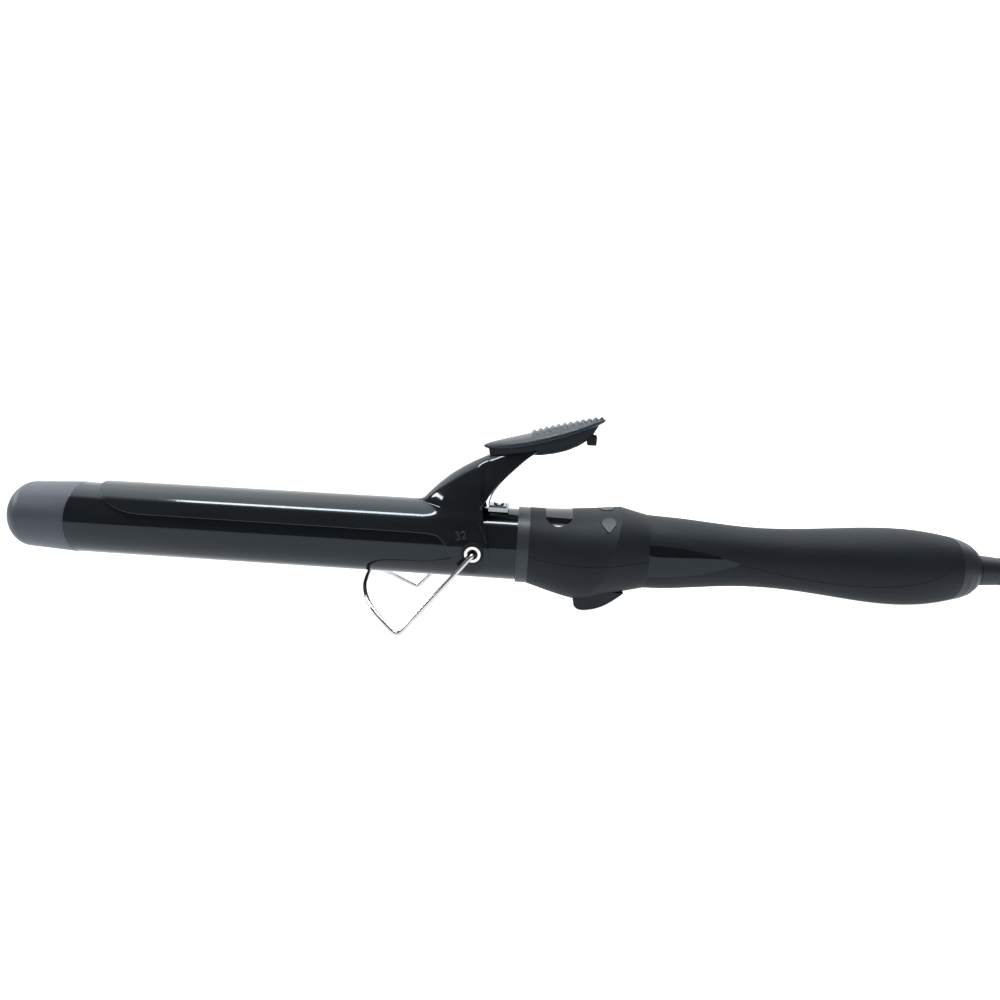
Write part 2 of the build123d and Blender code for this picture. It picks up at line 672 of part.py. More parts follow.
def iron_pieces():
    """Every piece of the iron itself, in the iron's own frame."""
    upper, lower = handle_shells()
    pieces = {
        "cool_tip": cool_tip(),
        "tip_insulator": tip_insulator(),
        "barrel_tube": barrel_tube(),
        "heater_spreader_upper": heater_spreader(1),
        "heater_spreader_lower": heater_spreader(-1),
        "heater_strip": heater_strip(),
        "heater_terminals": heater_terminals(),
        "heater_leads": heater_leads(),
        "temperature_sensor": temperature_sensor(),
        "thermal_fuse": thermal_fuse(),
        "barrel_bush": barrel_bush(),
        "barrel_collar": barrel_collar(),
        "clip_blade": clip_blade(),
        "thumb_lever": thumb_lever(),
        "thumb_pad": thumb_pad(),
        "thumb_pad_base": thumb_pad_base(),
        "pad_screws": pad_screws(),
        "pivot_studs": pivot_studs(),
        "pivot_washers": pivot_washers(),
        "stand_wire": stand_wire(),
        "lever_spring": lever_spring(),
        "spring_plate": spring_plate(),
        "spring_screw": spring_screw(),
        "handle_upper_shell": upper,
        "handle_lower_shell": lower,
        "handle_screws": handle_screws(),
        "finger_rest": finger_rest(),
        "display_window": lens_form() & handle_outer(0.05) - handle_outer(LENS_DEPTH - 0.05),
        "display_module": display_module(),
        "display_posts": display_posts(),
        "control_board": control_board(),
        "board_relay": board_relay(),
        "switch_cradle": switch_cradle(),
        "tact_switches": tact_switches(),
        "end_ring": end_ring(),
        "swivel_plate": swivel_plate(),
        "swivel_collar": swivel_collar(),
        "slip_rings": slip_rings(),
        "brush_contacts": brush_contacts(),
        "cord_boot": cord_boot(),
    }
    for name in BUTTON_ANGLES:
        pieces[name] = button(name)
    for side, name in ((-1, "side_inlay_left"), (1, "side_inlay_right")):
        pieces[name] = inlay_form(side) & handle_outer(0.05) - handle_outer(1.15)
    return pieces


def cord_pieces():
    """The mains lead, in the row's frame."""
    return {
        "power_cord": routed(LEAD_ROUTE, CORD_D / 2),
        "cord_coil": cord_coil(),
        "cord_tie": cord_tie(),
        "plug_lead": routed(TAIL_ROUTE, CORD_D / 2),
        "plug_body": plug_body(),
        "plug_pins": plug_pins(),
    }


os.makedirs("parts", exist_ok=True)
place = Pos(PIVOT_ROW_X, 0, PIVOT_ROW_Z) * Rot(0, TILT, 0)
iron = {name: place * shape for name, shape in iron_pieces().items()}
box = Compound(children=[s for shape in iron.values() for s in shape.solids()]).bounding_box()
print("iron's box", box.min, box.max)
print("boot's end", place * Pos(BOOT_X[1], 0, HANDLE_AXIS_Z))
for name, shape in {**iron, **cord_pieces()}.items():
    export_step(Compound(children=shape.solids()), f"parts/{name}.step")
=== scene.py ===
# %% [markdown]
# # A curling iron on its wire rest
#
# The iron is a 32 mm barrel with a sprung clip, a soft handle with three buttons and a mains lead. Its
# working model already exists, with every piece at its real size. This lesson dresses that model: pieces
# whose shape is plain keep their mesh and get a finish, and pieces with pressed, moulded or bent forms are
# worked out anew.

import bmesh
import bpy
import json
import math
import numpy as np
from mathutils import Matrix, Vector


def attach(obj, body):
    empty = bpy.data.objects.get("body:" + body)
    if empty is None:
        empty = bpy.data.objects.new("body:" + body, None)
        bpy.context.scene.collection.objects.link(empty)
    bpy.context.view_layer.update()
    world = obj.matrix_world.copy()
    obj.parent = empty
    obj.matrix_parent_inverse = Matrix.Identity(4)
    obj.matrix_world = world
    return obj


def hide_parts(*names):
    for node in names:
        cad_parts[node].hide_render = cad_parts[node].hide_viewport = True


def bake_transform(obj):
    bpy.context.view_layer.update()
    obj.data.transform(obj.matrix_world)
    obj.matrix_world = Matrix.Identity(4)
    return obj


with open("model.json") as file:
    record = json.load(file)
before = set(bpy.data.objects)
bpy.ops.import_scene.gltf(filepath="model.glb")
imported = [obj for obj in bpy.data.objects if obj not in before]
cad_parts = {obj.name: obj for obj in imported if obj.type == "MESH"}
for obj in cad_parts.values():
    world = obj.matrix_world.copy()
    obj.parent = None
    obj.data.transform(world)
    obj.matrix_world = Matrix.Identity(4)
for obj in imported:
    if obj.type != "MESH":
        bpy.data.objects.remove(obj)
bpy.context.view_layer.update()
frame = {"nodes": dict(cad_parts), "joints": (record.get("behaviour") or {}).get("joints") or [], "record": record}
nodes = frame["nodes"]

# %% [markdown]
# ## The iron's own frame
#
# The iron leans on its rest, so nothing on it is level. Its forms are simplest to write along the barrel: X
# from the tip to the handle, Z away from the rest, the origin between the two clip pivots, in millimetres.
# One function then carries points to where the iron lies. The lean and the origin are read from the joints.

# %% From the iron's frame to the table
joints = {joint["name"]: joint for joint in frame["joints"]}
ALONG = Vector(joints["cord_swivel"]["axis"])
PIVOT = Vector(joints["clip_pivot"]["pos_m"])
MM = 0.001


def placed(points):
    """Points of the iron's own frame in mm, as metres on the table: turned about Y, moved to the pivot."""
    points = np.asarray(points, float)
    turn = np.array([[ALONG.x, 0.0, -ALONG.z], [0.0, 1.0, 0.0], [ALONG.z, 0.0, ALONG.x]])
    return points @ turn.T * MM + np.array(PIVOT)


rise_to_tip = math.degrees(math.atan2(-ALONG.z, ALONG.x))
print("the barrel's axis rises by", round(rise_to_tip, 2), "degrees to the tip")

# %% [markdown]
# ## Camera
#
# A product view from the side and a little above, quite near, so the far foot of the rest shows under the
# barrel. The camera is given by its place, the way it looks and which way is up on its film.

# %% Camera
CAMERA_PLACE = (0.0078, -0.3240, 0.1285)
CAMERA_LOOK = Vector((-0.04369, 0.97173, -0.23202))
CAMERA_UP = Vector((0.02089, 0.23308, 0.97224))
FOCAL_LENGTH = 27.0            # mm
FILM_WIDTH = 36.0              # mm
NEAREST = 0.01                 # m

lens = bpy.data.cameras.new("camera")
lens.lens = FOCAL_LENGTH
lens.sensor_width = FILM_WIDTH
lens.clip_start = NEAREST
camera = bpy.data.objects.new("camera", lens)
bpy.context.scene.collection.objects.link(camera)
right = CAMERA_LOOK.cross(CAMERA_UP).normalized()
up = right.cross(CAMERA_LOOK).normalized()
looking = Matrix((right, up, -CAMERA_LOOK)).transposed().to_4x4()
camera.matrix_world = Matrix.Translation(CAMERA_PLACE) @ looking
bpy.context.scene.camera = camera
print("the camera stands", round(-CAMERA_PLACE[1], 3), "m in front of the barrel's axis")

# %% [markdown]
# ## Shader sums as Python
#
# A material here is a small calculation: a noise times a mask plus a constant. Written node by node it is
# long and hard to read, so one class wraps a socket and lets Python's operators add the Math nodes. A second
# class holds one material and has a single method that makes any node.


# %% Sockets that can be added and multiplied
class Amount:
    """One output socket. Arithmetic on it adds Math nodes."""

    def __init__(self, finish, socket):
        self.finish = finish
        self.socket = socket

    def _sum(self, operation, first, second):
        return self.finish.amount("ShaderNodeMath", {"operation": operation}, {0: first, 1: second})

    def __add__(self, other):
        return self._sum("ADD", self, other)

    def __sub__(self, other):
        return self._sum("SUBTRACT", self, other)

    def __rsub__(self, other):
        return self._sum("SUBTRACT", other, self)

    def __mul__(self, other):
        return self._sum("MULTIPLY", self, other)

    def __truediv__(self, other):
        return self._sum("DIVIDE", self, other)

    __radd__ = __add__
    __rmul__ = __mul__


class Finish:
    """One material. Settings of a node are set before its sockets are filled or linked."""

    def __init__(self, name):
        self.material = bpy.data.materials.new(name)
        self.material.use_nodes = True
        self.tree = self.material.node_tree
        self.tree.nodes.clear()

    def node(self, kind, settings=(), inputs=()):
        made = self.tree.nodes.new(kind)
        for name, value in dict(settings).items():
            if name == "stops":
                self._set_stops(made.color_ramp, value)
            else:
                setattr(made, name, value)
        for name, value in dict(inputs).items():
            if isinstance(value, Amount):
                self.tree.links.new(value.socket, made.inputs[name])
            else:
                made.inputs[name].default_value = value
        return made

    def amount(self, kind, settings=(), inputs=(), output=0):
        return Amount(self, self.node(kind, settings, inputs).outputs[output])

    def _set_stops(self, ramp, stops):
        while len(ramp.elements) < len(stops):
            ramp.elements.new(0.5)
        for element, (position, colour) in zip(ramp.elements, stops):
            element.position = position
            element.color = (*colour, 1.0)

    def place(self):
        return self.amount("ShaderNodeTexCoord", output="Object")

    def noise(self, scale, detail=2.0, stretch=(1.0, 1.0, 1.0)):
        """Noise with about scale lumps to the metre, drawn out along an axis where stretch is under 1."""
        where = self.amount("ShaderNodeMapping", inputs={"Vector": self.place(), "Scale": stretch})
        shape = {"Vector": where, "Scale": scale, "Detail": detail}
        return self.amount("ShaderNodeTexNoise", inputs=shape)

    def ramp(self, amount, *stops):
        return self.amount("ShaderNodeValToRGB", {"stops": stops}, {"Fac": amount})

    def height(self, full):
        """Height above the table as a share of full, in metres."""
        apart = self.node("ShaderNodeSeparateXYZ", inputs={"Vector": self.place()})
        return Amount(self, apart.outputs["Z"]) / full

    def bump(self, height, distance, strength=1.0):
        """A relief whose full height is distance, in metres."""
        relief = {"Height": height, "Distance": distance, "Strength": strength}
        return self.amount("ShaderNodeBump", inputs=relief)

    def surface(self, **inputs):
        names = {name.replace("_", " "): value for name, value in inputs.items()}
        shader = self.amount("ShaderNodeBsdfPrincipled", inputs=names)
        self.node("ShaderNodeOutputMaterial", inputs={"Surface": shader})
        return self.material


# %% [markdown]
# ## Finishes
#
# Most of the iron is black, so its finishes differ in gloss and grain and hardly in colour. Lacquer is a
# smooth coat with a trace of orange peel. Soft-touch paint scatters light through a fine tooth. Moulded
# plastic has an even satin grain. Chrome and bare steel are told by what they mirror. Each finish varies a
# little over the surface, in colour and in roughness, because no real surface is one number.


# %% Finish: gloss lacquer
LACQUER_TINT = (0.82, 0.93, 1.0, 1.0)
PEEL_RELIEF = 0.000008         # m


def lacquer(name, tone):
    """Black lacquer: smooth, with faint orange peel a few millimetres wide and finer wipe marks."""
    finish = Finish(name)
    wipes = finish.noise(240.0, 3.0, (0.12, 1.0, 1.0))
    peel = finish.noise(420.0, 1.0)
    colour = finish.ramp(wipes, (0.3, tone), (0.7, tuple(1.35 * c for c in tone)))
    return finish.surface(Base_Color=colour, Roughness=0.05 + wipes * 0.05, IOR=1.27,
                          Specular_IOR_Level=0.8, Specular_Tint=LACQUER_TINT,
                          Normal=finish.bump(peel, PEEL_RELIEF))


# %% Finish: soft-touch paint and moulded plastic
PAINT_TINT = (0.82, 0.92, 1.0, 1.0)


def moulded(name, tone, roughness, grain=2600.0, relief=0.00002, spread=1.3, sheen=0.35):
    """Matt moulded surface: a fine even tooth, with slow changes of shade where hands have polished it."""
    finish = Finish(name)
    handling = finish.noise(38.0, 2.0)
    tooth = finish.noise(grain, 2.0)
    colour = finish.ramp(handling, (0.35, tone), (0.7, tuple(spread * c for c in tone)))
    rough = handling * 0.12 + tooth * 0.08 + (roughness - 0.1)
    return finish.surface(Base_Color=colour, Roughness=rough, Specular_IOR_Level=sheen,
                          Specular_Tint=PAINT_TINT, Normal=finish.bump(tooth, relief))


# %% Finish: metals
def metal(name, tone, roughness, brushed=(0.06, 1.0, 1.0), relief=0.000004):
    """Bare or plated metal, with a brushing that runs along X and a slow change of gloss."""
    finish = Finish(name)
    strokes = finish.noise(3200.0, 2.0, brushed)
    haze = finish.noise(160.0, 2.0)
    colour = finish.ramp(haze, (0.3, tuple(0.9 * c for c in tone)), (0.7, tone))
    rough = strokes * (0.5 * roughness) + haze * (0.5 * roughness) + 0.5 * roughness
    return finish.surface(Base_Color=colour, Metallic=1.0, Roughness=rough,
                          Normal=finish.bump(strokes, relief))


# %% Finish: printed board and ceramic
SPECK_RELIEF = 0.00002         # m


def speckled(name, dark, light, scale, roughness):
    """A dull surface made of two tones in small specks, such as mica sheet or a printed board."""
    finish = Finish(name)
    specks = finish.noise(scale, 4.0)
    colour = finish.ramp(specks, (0.42, dark), (0.58, light))
    return finish.surface(Base_Color=colour, Roughness=specks * 0.2 + roughness,
                          Normal=finish.bump(specks, SPECK_RELIEF))


# %% [markdown]
# The working model says what each piece is made of, by the name of a material. One table turns those names
# into finishes. The tones are very dark, because soft-touch paint and black lacquer send back less than one
# part in a hundred of the light.

# %% Finishes by material
finishes = {
    "satin_grey_plastic": moulded("satin_grey_plastic", (0.034, 0.036, 0.0455), 0.45, grain=3400.0),
    "barrel_lacquer": lacquer("barrel_lacquer", (0.0042, 0.005, 0.0058)),
    "clip_lacquer": lacquer("clip_lacquer", (0.0045, 0.0054, 0.0062)),
    "soft_black": moulded("soft_black", (0.0044, 0.0056, 0.0072), 0.55, 4200.0, 0.000012, sheen=0.2),
    "rubber_black": moulded("rubber_black", (0.0052, 0.006, 0.007), 0.55, grain=3000.0),
    "gloss_black_plastic": lacquer("gloss_black_plastic", (0.0025, 0.0028, 0.0034)),
    "window_plastic": lacquer("window_plastic", (0.004, 0.0044, 0.0052)),
    "button_grey": moulded("button_grey", (0.022, 0.0245, 0.028), 0.4, grain=3600.0, sheen=0.25),
    "chrome": metal("chrome", (0.5, 0.495, 0.48), 0.14),
    "spring_steel": metal("spring_steel", (0.26, 0.27, 0.27), 0.2),
    "steel": metal("steel", (0.56, 0.56, 0.58), 0.28),
    "aluminium": metal("aluminium", (0.72, 0.72, 0.74), 0.35),
    "ceramic": speckled("ceramic", (0.55, 0.48, 0.36), (0.72, 0.66, 0.52), 900.0, 0.6),
    "board": speckled("board", (0.012, 0.09, 0.035), (0.02, 0.16, 0.06), 1400.0, 0.4),
    "brass": metal("brass", (0.72, 0.5, 0.2), 0.25),
    "glass": moulded("glass", (0.42, 0.2, 0.08), 0.2),
    "cord_rubber": moulded("cord_rubber", (0.0062, 0.007, 0.0085), 0.45, grain=2400.0),
    "plug_black": moulded("plug_black", (0.012, 0.0126, 0.014), 0.42, grain=2600.0),
}
print(len(finishes), "finishes")

# %% [markdown]
# A pivot stud is a chromed tube. Its hole is deep and narrow, so it mirrors only itself and looks black, and
# that shade is painted: the colour turns black inside the hole by the distance from the pivot's axis.

# %% Finish: chrome with painted shade in its hole
HOLE_RADIUS = 2.3              # mm
HOLE_SPAN = 5.0                # mm, the distance at the light end of the ramp
HOLE_BLUR = 0.02               # half width of the change, as a share of the span
# painted shade: the colour inside the hole, standing in for the hole's shade
HOLE_PAINTED_SHADE = (0.012, 0.011, 0.01)


def chrome_with_painted_hole_shade(name, tone):
    """Chrome with painted shade inside the stud's hole: the colour goes black by the distance from the pivot's
    axis.
    """
    finish = Finish(name)
    aside = finish.amount("ShaderNodeVectorMath", {"operation": "SUBTRACT"}, {0: finish.place(), 1: PIVOT})
    flat = finish.amount("ShaderNodeVectorMath", {"operation": "MULTIPLY"}, {0: aside, 1: (1.0, 0.0, 1.0)})
    away = finish.amount("ShaderNodeVectorMath", {"operation": "LENGTH"}, {0: flat}, "Value")
    edge = HOLE_RADIUS / HOLE_SPAN
    share = away * (1.0 / (HOLE_SPAN * MM))
    colour = finish.ramp(share, (edge - HOLE_BLUR, HOLE_PAINTED_SHADE), (edge + HOLE_BLUR, tone))
    haze = finish.noise(900.0, 2.0)
    return finish.surface(Base_Color=colour, Metallic=1.0, Roughness=0.05 + haze * 0.06,
                          Normal=finish.bump(haze, 0.000004))


# the studs' chrome, with painted shade in the hole
stud_chrome_painted_hole_shade = chrome_with_painted_hole_shade("stud_chrome_painted_hole_shade", (0.62, 0.6, 0.57))

# %% [markdown]
# Some pieces share a material in the model but not a look. The collar and the end ring are the handle's
# plastic with a satin face; the end ring is painted a little lighter, painted light for what its bevel
# catches. The pad's leaf is a little lighter, and the pressed mark is painted lighter, a painted highlight
# for the light that its edges catch.

# %% Give every piece its finish
for subpart in frame["record"]["subparts"]:
    mesh = nodes[subpart["node"]].data
    mesh.materials.clear()
    mesh.materials.append(finishes[subpart["material_slot"]])
# the pivot studs take the chrome with painted shade in their holes
nodes["pivot_studs"].data.materials[0] = stud_chrome_painted_hole_shade
nodes["barrel_collar"].data.materials[0] = moulded("collar_satin", (0.017, 0.019, 0.023), 0.4, 3400.0)
# the end ring is painted lighter: painted light for the light that its bevel catches
nodes["end_ring"].data.materials[0] = moulded("ring_satin_painted_light", (0.0085, 0.0098, 0.0135), 0.42, 3400.0)
pad_satin = moulded("pad_satin", (0.0105, 0.0128, 0.015), 0.36, 3400.0, 0.000014)
# the mark is painted lighter than the clip: a painted highlight for the light that its edges catch
mark_painted_highlight = moulded("mark_painted_highlight", (0.013, 0.0148, 0.0165), 0.3, 3400.0, 0.000004)

# %% [markdown]
# ## Mains lead
#
# The lead leaves the strain relief, sinks to the table and goes into a round coil, which holds the length
# that is not in use. It is one open spline: listed points where it is free, and a loop for the turns. A
# smooth spline of order 3 stays inside its points, so the turns' points stand a little outside the turns.

# %% Coil of the lead
LEAD_D = 0.0065
COIL_MIDDLE = (0.306, 0.012)
COIL_RADII = (0.04675, 0.04025, 0.03375, 0.02725)
POINTS_PER_TURN = 16
STEP_FROM = 0.78               # share of a turn after which it moves over to the next radius
CLIMB_FROM = 0.55              # share of a turn after which it climbs to the next layer
LAST_SHARE = 0.375             # share of a turn that the last turn makes
START_ANGLE = math.radians(-150.0)


def eased(value):
    """A smooth step from 0 to 1."""
    value = min(max(value, 0.0), 1.0)
    return value * value * (3.0 - 2.0 * value)


def coil_points(turns):
    """Points of a stepped winding, from one (layer, column, next layer, next column, share) for each turn:
    x = x0 + r cos a and y = y0 + r sin a, with r and z moving over by a smooth step late in the turn."""
    outward = 1.0 / math.cos(math.pi / POINTS_PER_TURN)
    points = []
    for number, (layer, column, next_layer, next_column, share) in enumerate(turns):
        for step in range(1, round(POINTS_PER_TURN * share) + 1):
            done = step / POINTS_PER_TURN
            shift = eased((done - STEP_FROM) / (1.0 - STEP_FROM))
            climb = eased((done - CLIMB_FROM) / (STEP_FROM - CLIMB_FROM))
            radius = COIL_RADII[column] + (COIL_RADII[next_column] - COIL_RADII[column]) * shift
            height = LEAD_D * (0.5 + layer + (next_layer - layer) * climb)
            angle = START_ANGLE + 2.0 * math.pi * (number + done)
            points.append((COIL_MIDDLE[0] + outward * radius * math.cos(angle),
                           COIL_MIDDLE[1] + outward * radius * math.sin(angle), height))
    return points


inward = [(0, 0, 0, 1), (0, 1, 0, 2), (0, 2, 0, 3), (0, 3, 1, 3)]
outward_again = [(1, 3, 1, 2), (1, 2, 1, 1), (1, 1, 1, 0), (1, 0, 2, 0)]
top = [(2, 0, 2, 1)]
winding = [(*turn, 1.0) for turn in inward + outward_again + top] + [(2, 1, 2, 1, LAST_SHARE)]
lead_start = [(0.22953, 0.0, 0.01235), (0.24148, 0.0, 0.01132), (0.2546, -0.0035, 0.0082),
              (0.2670, -0.0115, 0.0046)]
lead_tail = [(0.3465, 0.0150, 0.0166), (0.3439, 0.0239, 0.0182), (0.3389, 0.0329, 0.0211),
             (0.3313, 0.0399, 0.0240), (0.3217, 0.0443, 0.0262), (0.3120, 0.0460, 0.0268)]
lead_points = lead_start + coil_points(winding) + lead_tail


# %% Lead as a spline
def spline_piece(name, points, radius):
    """One open spline of order 3 with a round section."""
    curve = bpy.data.curves.new(name, "CURVE")
    curve.dimensions = "3D"
    curve.bevel_depth = radius
    curve.bevel_resolution = 4
    curve.use_fill_caps = True
    curve.resolution_u = 6
    spline = curve.splines.new("NURBS")
    spline.points.add(len(points) - 1)
    for point, place in zip(spline.points, points):
        point.co = (*place, 1.0)
    spline.order_u = 3
    spline.use_endpoint_u = True
    made = bpy.data.objects.new(name, curve)
    bpy.context.scene.collection.objects.link(made)
    return made


lead = spline_piece("mains_lead", lead_points, LEAD_D / 2)
lead.data.materials.append(finishes["cord_rubber"])
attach(lead, "root")
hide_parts("power_cord", "cord_coil", "plug_lead")
spans = np.diff(np.array(lead_points), axis=0)
print("lead's points span", round(float(np.linalg.norm(spans, axis=1).sum()), 3), "m")

# %% [markdown]
# ## Surfaces from numbers
#
# The pressed and moulded pieces are all grids: a formula gives a point for every pair of two parameters. The
# whole grid is worked out at once as an array, and one function turns it into a mesh, closing it where the
# form goes round. A pole is a row whose points coincide, and merging them closes it.


# %% Grids into meshes
MERGE_WITHIN = 1e-6            # m, points closer than this are one point
FLAT_WITHIN = 1e-7             # m, edges shorter than this go


def grid_faces(rows, columns, round_rows=False, round_columns=False):
    """Quads of a grid numbered row by row: each joins a point to the next in its row and in its column."""
    row = np.arange(rows if round_rows else rows - 1)
    column = np.arange(columns if round_columns else columns - 1)
    row, column = np.meshgrid(row, column, indexing="ij")
    next_row = (row + 1) % rows
    next_column = (column + 1) % columns
    corners = (row * columns + column, row * columns + next_column,
               next_row * columns + next_column, next_row * columns + column)
    return np.stack(corners, axis=-1).reshape(-1, 4)


def on_table(points):
    """Points in mm in the table's own frame, as metres."""
    return np.asarray(points, float) * MM


def build(name, grids, slot, body=None, round_rows=False, round_columns=True, place=placed):
    """A piece from one or more grids of points, merged, facing out, shaded smooth and riding on a body."""
    points, faces, first = [], [], 0
    for grid in grids:
        rows, columns = grid.shape[:2]
        points.append(grid.reshape(-1, 3))
        faces.append(grid_faces(rows, columns, round_rows, round_columns) + first)
        first += rows * columns
    mesh = bpy.data.meshes.new(name)
    mesh.from_pydata(place(np.concatenate(points)).tolist(), [], np.concatenate(faces).tolist())
    work = bmesh.new()
    work.from_mesh(mesh)
    bmesh.ops.remove_doubles(work, verts=work.verts, dist=MERGE_WITHIN)
    bmesh.ops.dissolve_degenerate(work, edges=work.edges, dist=FLAT_WITHIN)
    bmesh.ops.recalc_face_normals(work, faces=work.faces)
    work.to_mesh(mesh)
    work.free()
    mesh.shade_smooth()
    mesh.materials.append(finishes[slot])
    made = bpy.data.objects.new(name, mesh)
    bpy.context.scene.collection.objects.link(made)
    if body:
        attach(made, body)
    print(name, len(mesh.polygons), "faces")
    return made


def turned(x, radius, height=0.0, around=96):
    """A profile of places x and radii turned about the X direction: y = r sin a, z = height + r cos a."""
    angle = np.linspace(0.0, 2.0 * np.pi, around, endpoint=False)
    x, radius = np.broadcast_arrays(np.asarray(x, float), np.asarray(radius, float))
    across = radius[:, None] * np.sin(angle)
    above = height + radius[:, None] * np.cos(angle)
    return np.stack([np.broadcast_to(x[:, None], across.shape), across, above], axis=-1)


def smooth_through(stations, at, column=1):
    """A smooth curve through stations (place, value, ...): cubics whose slopes come from their neighbours."""
    table = np.asarray(stations, float)
    place, value = table[:, 0], table[:, column]
    slope = np.gradient(value, place)
    k = np.clip(np.searchsorted(place, at) - 1, 0, len(place) - 2)
    run = place[k + 1] - place[k]
    t = (at - place[k]) / run
    return ((1 + 2 * t) * (1 - t) ** 2 * value[k] + t * (1 - t) ** 2 * run * slope[k]
            + t * t * (3 - 2 * t) * value[k + 1] + t * t * (t - 1) * run * slope[k + 1])


# %% [markdown]
# ## Cool tip
#
# The cap on the barrel's end stays cool enough to hold. It is a moulding with a slight draft and a domed end.
# A quarter of an ellipse makes the dome, and it meets the draft without an edge, which a ball would not.

# %% Cool tip
TIP_BACK = -179.5
DOME_BACK = -201.0
TIP_END = -211.2
DOME_RADIUS = 14.85
SKIRT_X = (-199.0, -180.4)     # the drafted skirt, from the dome to the rounded edge
SKIRT_R = (14.95, 16.07)
SKIRT_WAVE = 1.6               # how much further the cap's edge reaches above and below than at the sides
around_dome = np.linspace(0.0, np.pi / 2, 28)
dome_x = DOME_BACK - (DOME_BACK - TIP_END) * np.cos(around_dome)
dome_r = DOME_RADIUS * np.sin(around_dome)
tip_x = np.concatenate([dome_x, np.linspace(*SKIRT_X, 12), [-179.9, -179.55, TIP_BACK, TIP_BACK]])
tip_r = np.concatenate([dome_r, np.linspace(*SKIRT_R, 12), [16.08, 16.0, 15.5, 0.0]])
cap = turned(tip_x, tip_r)
upward = cap[..., 2] / np.maximum(np.hypot(cap[..., 1], cap[..., 2]), 1e-6)
skirt = np.clip((cap[..., 0] - DOME_BACK) / (TIP_BACK - DOME_BACK), 0.0, 1.0) ** 2
cap[..., 0] += SKIRT_WAVE * skirt * upward ** 2
cool_tip = build("cool_tip_cap", [cap], "satin_grey_plastic", "root")
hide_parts("cool_tip")

# %% [markdown]
# ## Clip
#
# The clip is one steel pressing. Its blade hugs the barrel, and behind the blade the same sheet rises into
# the thumb lever and spreads down into the two ears. A box model would show seams where these meet, so the
# sheet is one grid: every row runs from its ridge, on the middle plane, down to its edge. Along a row the
# sheet is as wide as the barrel's cylinder or as the lever's arch, whichever is wider, and a power mean of
# the two rounds the valley between them.

# %% Outline of the clip from the side
BLADE_END = -30.0
NOSE = -168.2
NOSE_LENGTH = 24.0
NOSE_POWER = 2.2               # 2 would be an ellipse seen from above, more is blunter
BLADE_EDGE = 7.2               # height of the blade's edge above the axis
NOSE_RADIUS = 17.25            # the blade's radius at the nose
BLADE_GROWS = 0.8              # how much wider the blade is at its back end
SHEET = 0.8                    # thickness of the steel
EAR_FACE = 18.1                # half the distance over the ears
# Down the ridge and the edge together: ridge x, ridge z, edge x, edge z, half width of the lever.
CLIP_ROWS = np.array([
    (-30.0, 18.05, -30.0, 7.2, 0.0),
    (-26.4, 18.25, -24.5, 7.1, 2.5),
    (-23.8, 19.3, -19.0, 6.9, 7.5),
    (-21.7, 21.6, -15.2, 5.9, 11.0),
    (-19.4, 24.0, -12.2, 2.9, 12.6),
    (-17.0, 26.4, -10.0, -1.2, 13.3),
    (-14.4, 28.7, -7.7, -5.2, 13.6),
    (-11.7, 30.9, -3.6, -8.3, 13.5),
    (-9.0, 32.8, 1.6, -8.7, 13.2),
    (-6.4, 34.5, 5.6, -5.7, 12.9),
    (-3.9, 36.0, 6.6, -0.6, 12.6),
    (-1.6, 37.3, 5.9, 3.6, 12.3),
    (0.6, 38.4, 4.1, 7.4, 12.0),
    (2.6, 39.4, 2.3, 11.2, 11.8),
    (4.6, 40.3, 1.3, 14.6, 11.6),
    (6.5, 41.1, 2.3, 18.0, 11.2),
    (8.3, 41.9, 4.3, 22.0, 10.6),
    (10.0, 42.6, 7.2, 26.3, 9.9),
    (12.0, 43.3, 10.9, 30.8, 9.2),
    (14.4, 44.1, 15.4, 35.6, 8.6),
    (17.6, 45.0, 20.4, 40.4, 8.1),
    (20.8, 46.0, 24.6, 43.8, 7.8),
])


# %% Rows of the clip's grid
def blade_radius(x):
    """The blade's radius grows evenly from the nose to the saddle."""
    return NOSE_RADIUS + BLADE_GROWS * (x - NOSE) / (BLADE_END - NOSE)


def clip_rows(blade_rows=110, lever_rows=150):
    """Ridge and edge of every row: a nearly elliptic nose, the straight blade, a curve through CLIP_ROWS."""
    done = 1.0 - np.cos(np.linspace(0.0, np.pi / 2, 40))
    straight = np.linspace(NOSE + NOSE_LENGTH, BLADE_END, blade_rows)
    x = np.concatenate([NOSE + NOSE_LENGTH * done[:-1], straight])
    radius = blade_radius(x)
    nose = np.clip((NOSE + NOSE_LENGTH - x) / NOSE_LENGTH, 0.0, 1.0)
    spread = np.arccos(BLADE_EDGE / radius) * (1.0 - nose ** NOSE_POWER) ** (1.0 / NOSE_POWER)
    blade = np.stack([x, radius, x, radius * np.cos(spread), 0.0 * x], axis=-1)
    number = np.arange(len(CLIP_ROWS))
    at = np.linspace(0.0, number[-1], lever_rows + 1)[1:]
    lever = [smooth_through(np.stack([number, CLIP_ROWS[:, k]], axis=-1), at) for k in range(5)]
    return np.concatenate([blade, np.stack(lever, axis=-1)])


# %% Clip's sheet
ARCH_POWER = 2.1               # superellipse of the lever's arch: 2 would be a round arch
ARCH_SHARE = 0.62              # share of the quarter arch that the sheet makes, so that it stays open below
ARCH_REACH = 1.45              # length of the arch along a row, in half widths
DEEP_FROM, DEEP_OVER = 6.0, 8.0        # heights of the edge over which the arch comes to fill the row
LIP_FROM, LIP_OVER = 14.0, 8.0         # heights of the edge over which the lip starts
LIP_LENGTH = 4.0
LIP_HEIGHT = 0.3
FADE_FROM, FADE_OVER = 3.0, 11.0       # heights over which the arch grows out of the ears
JOIN_POWER = 5                 # power mean that rounds the valley between arch and cylinder


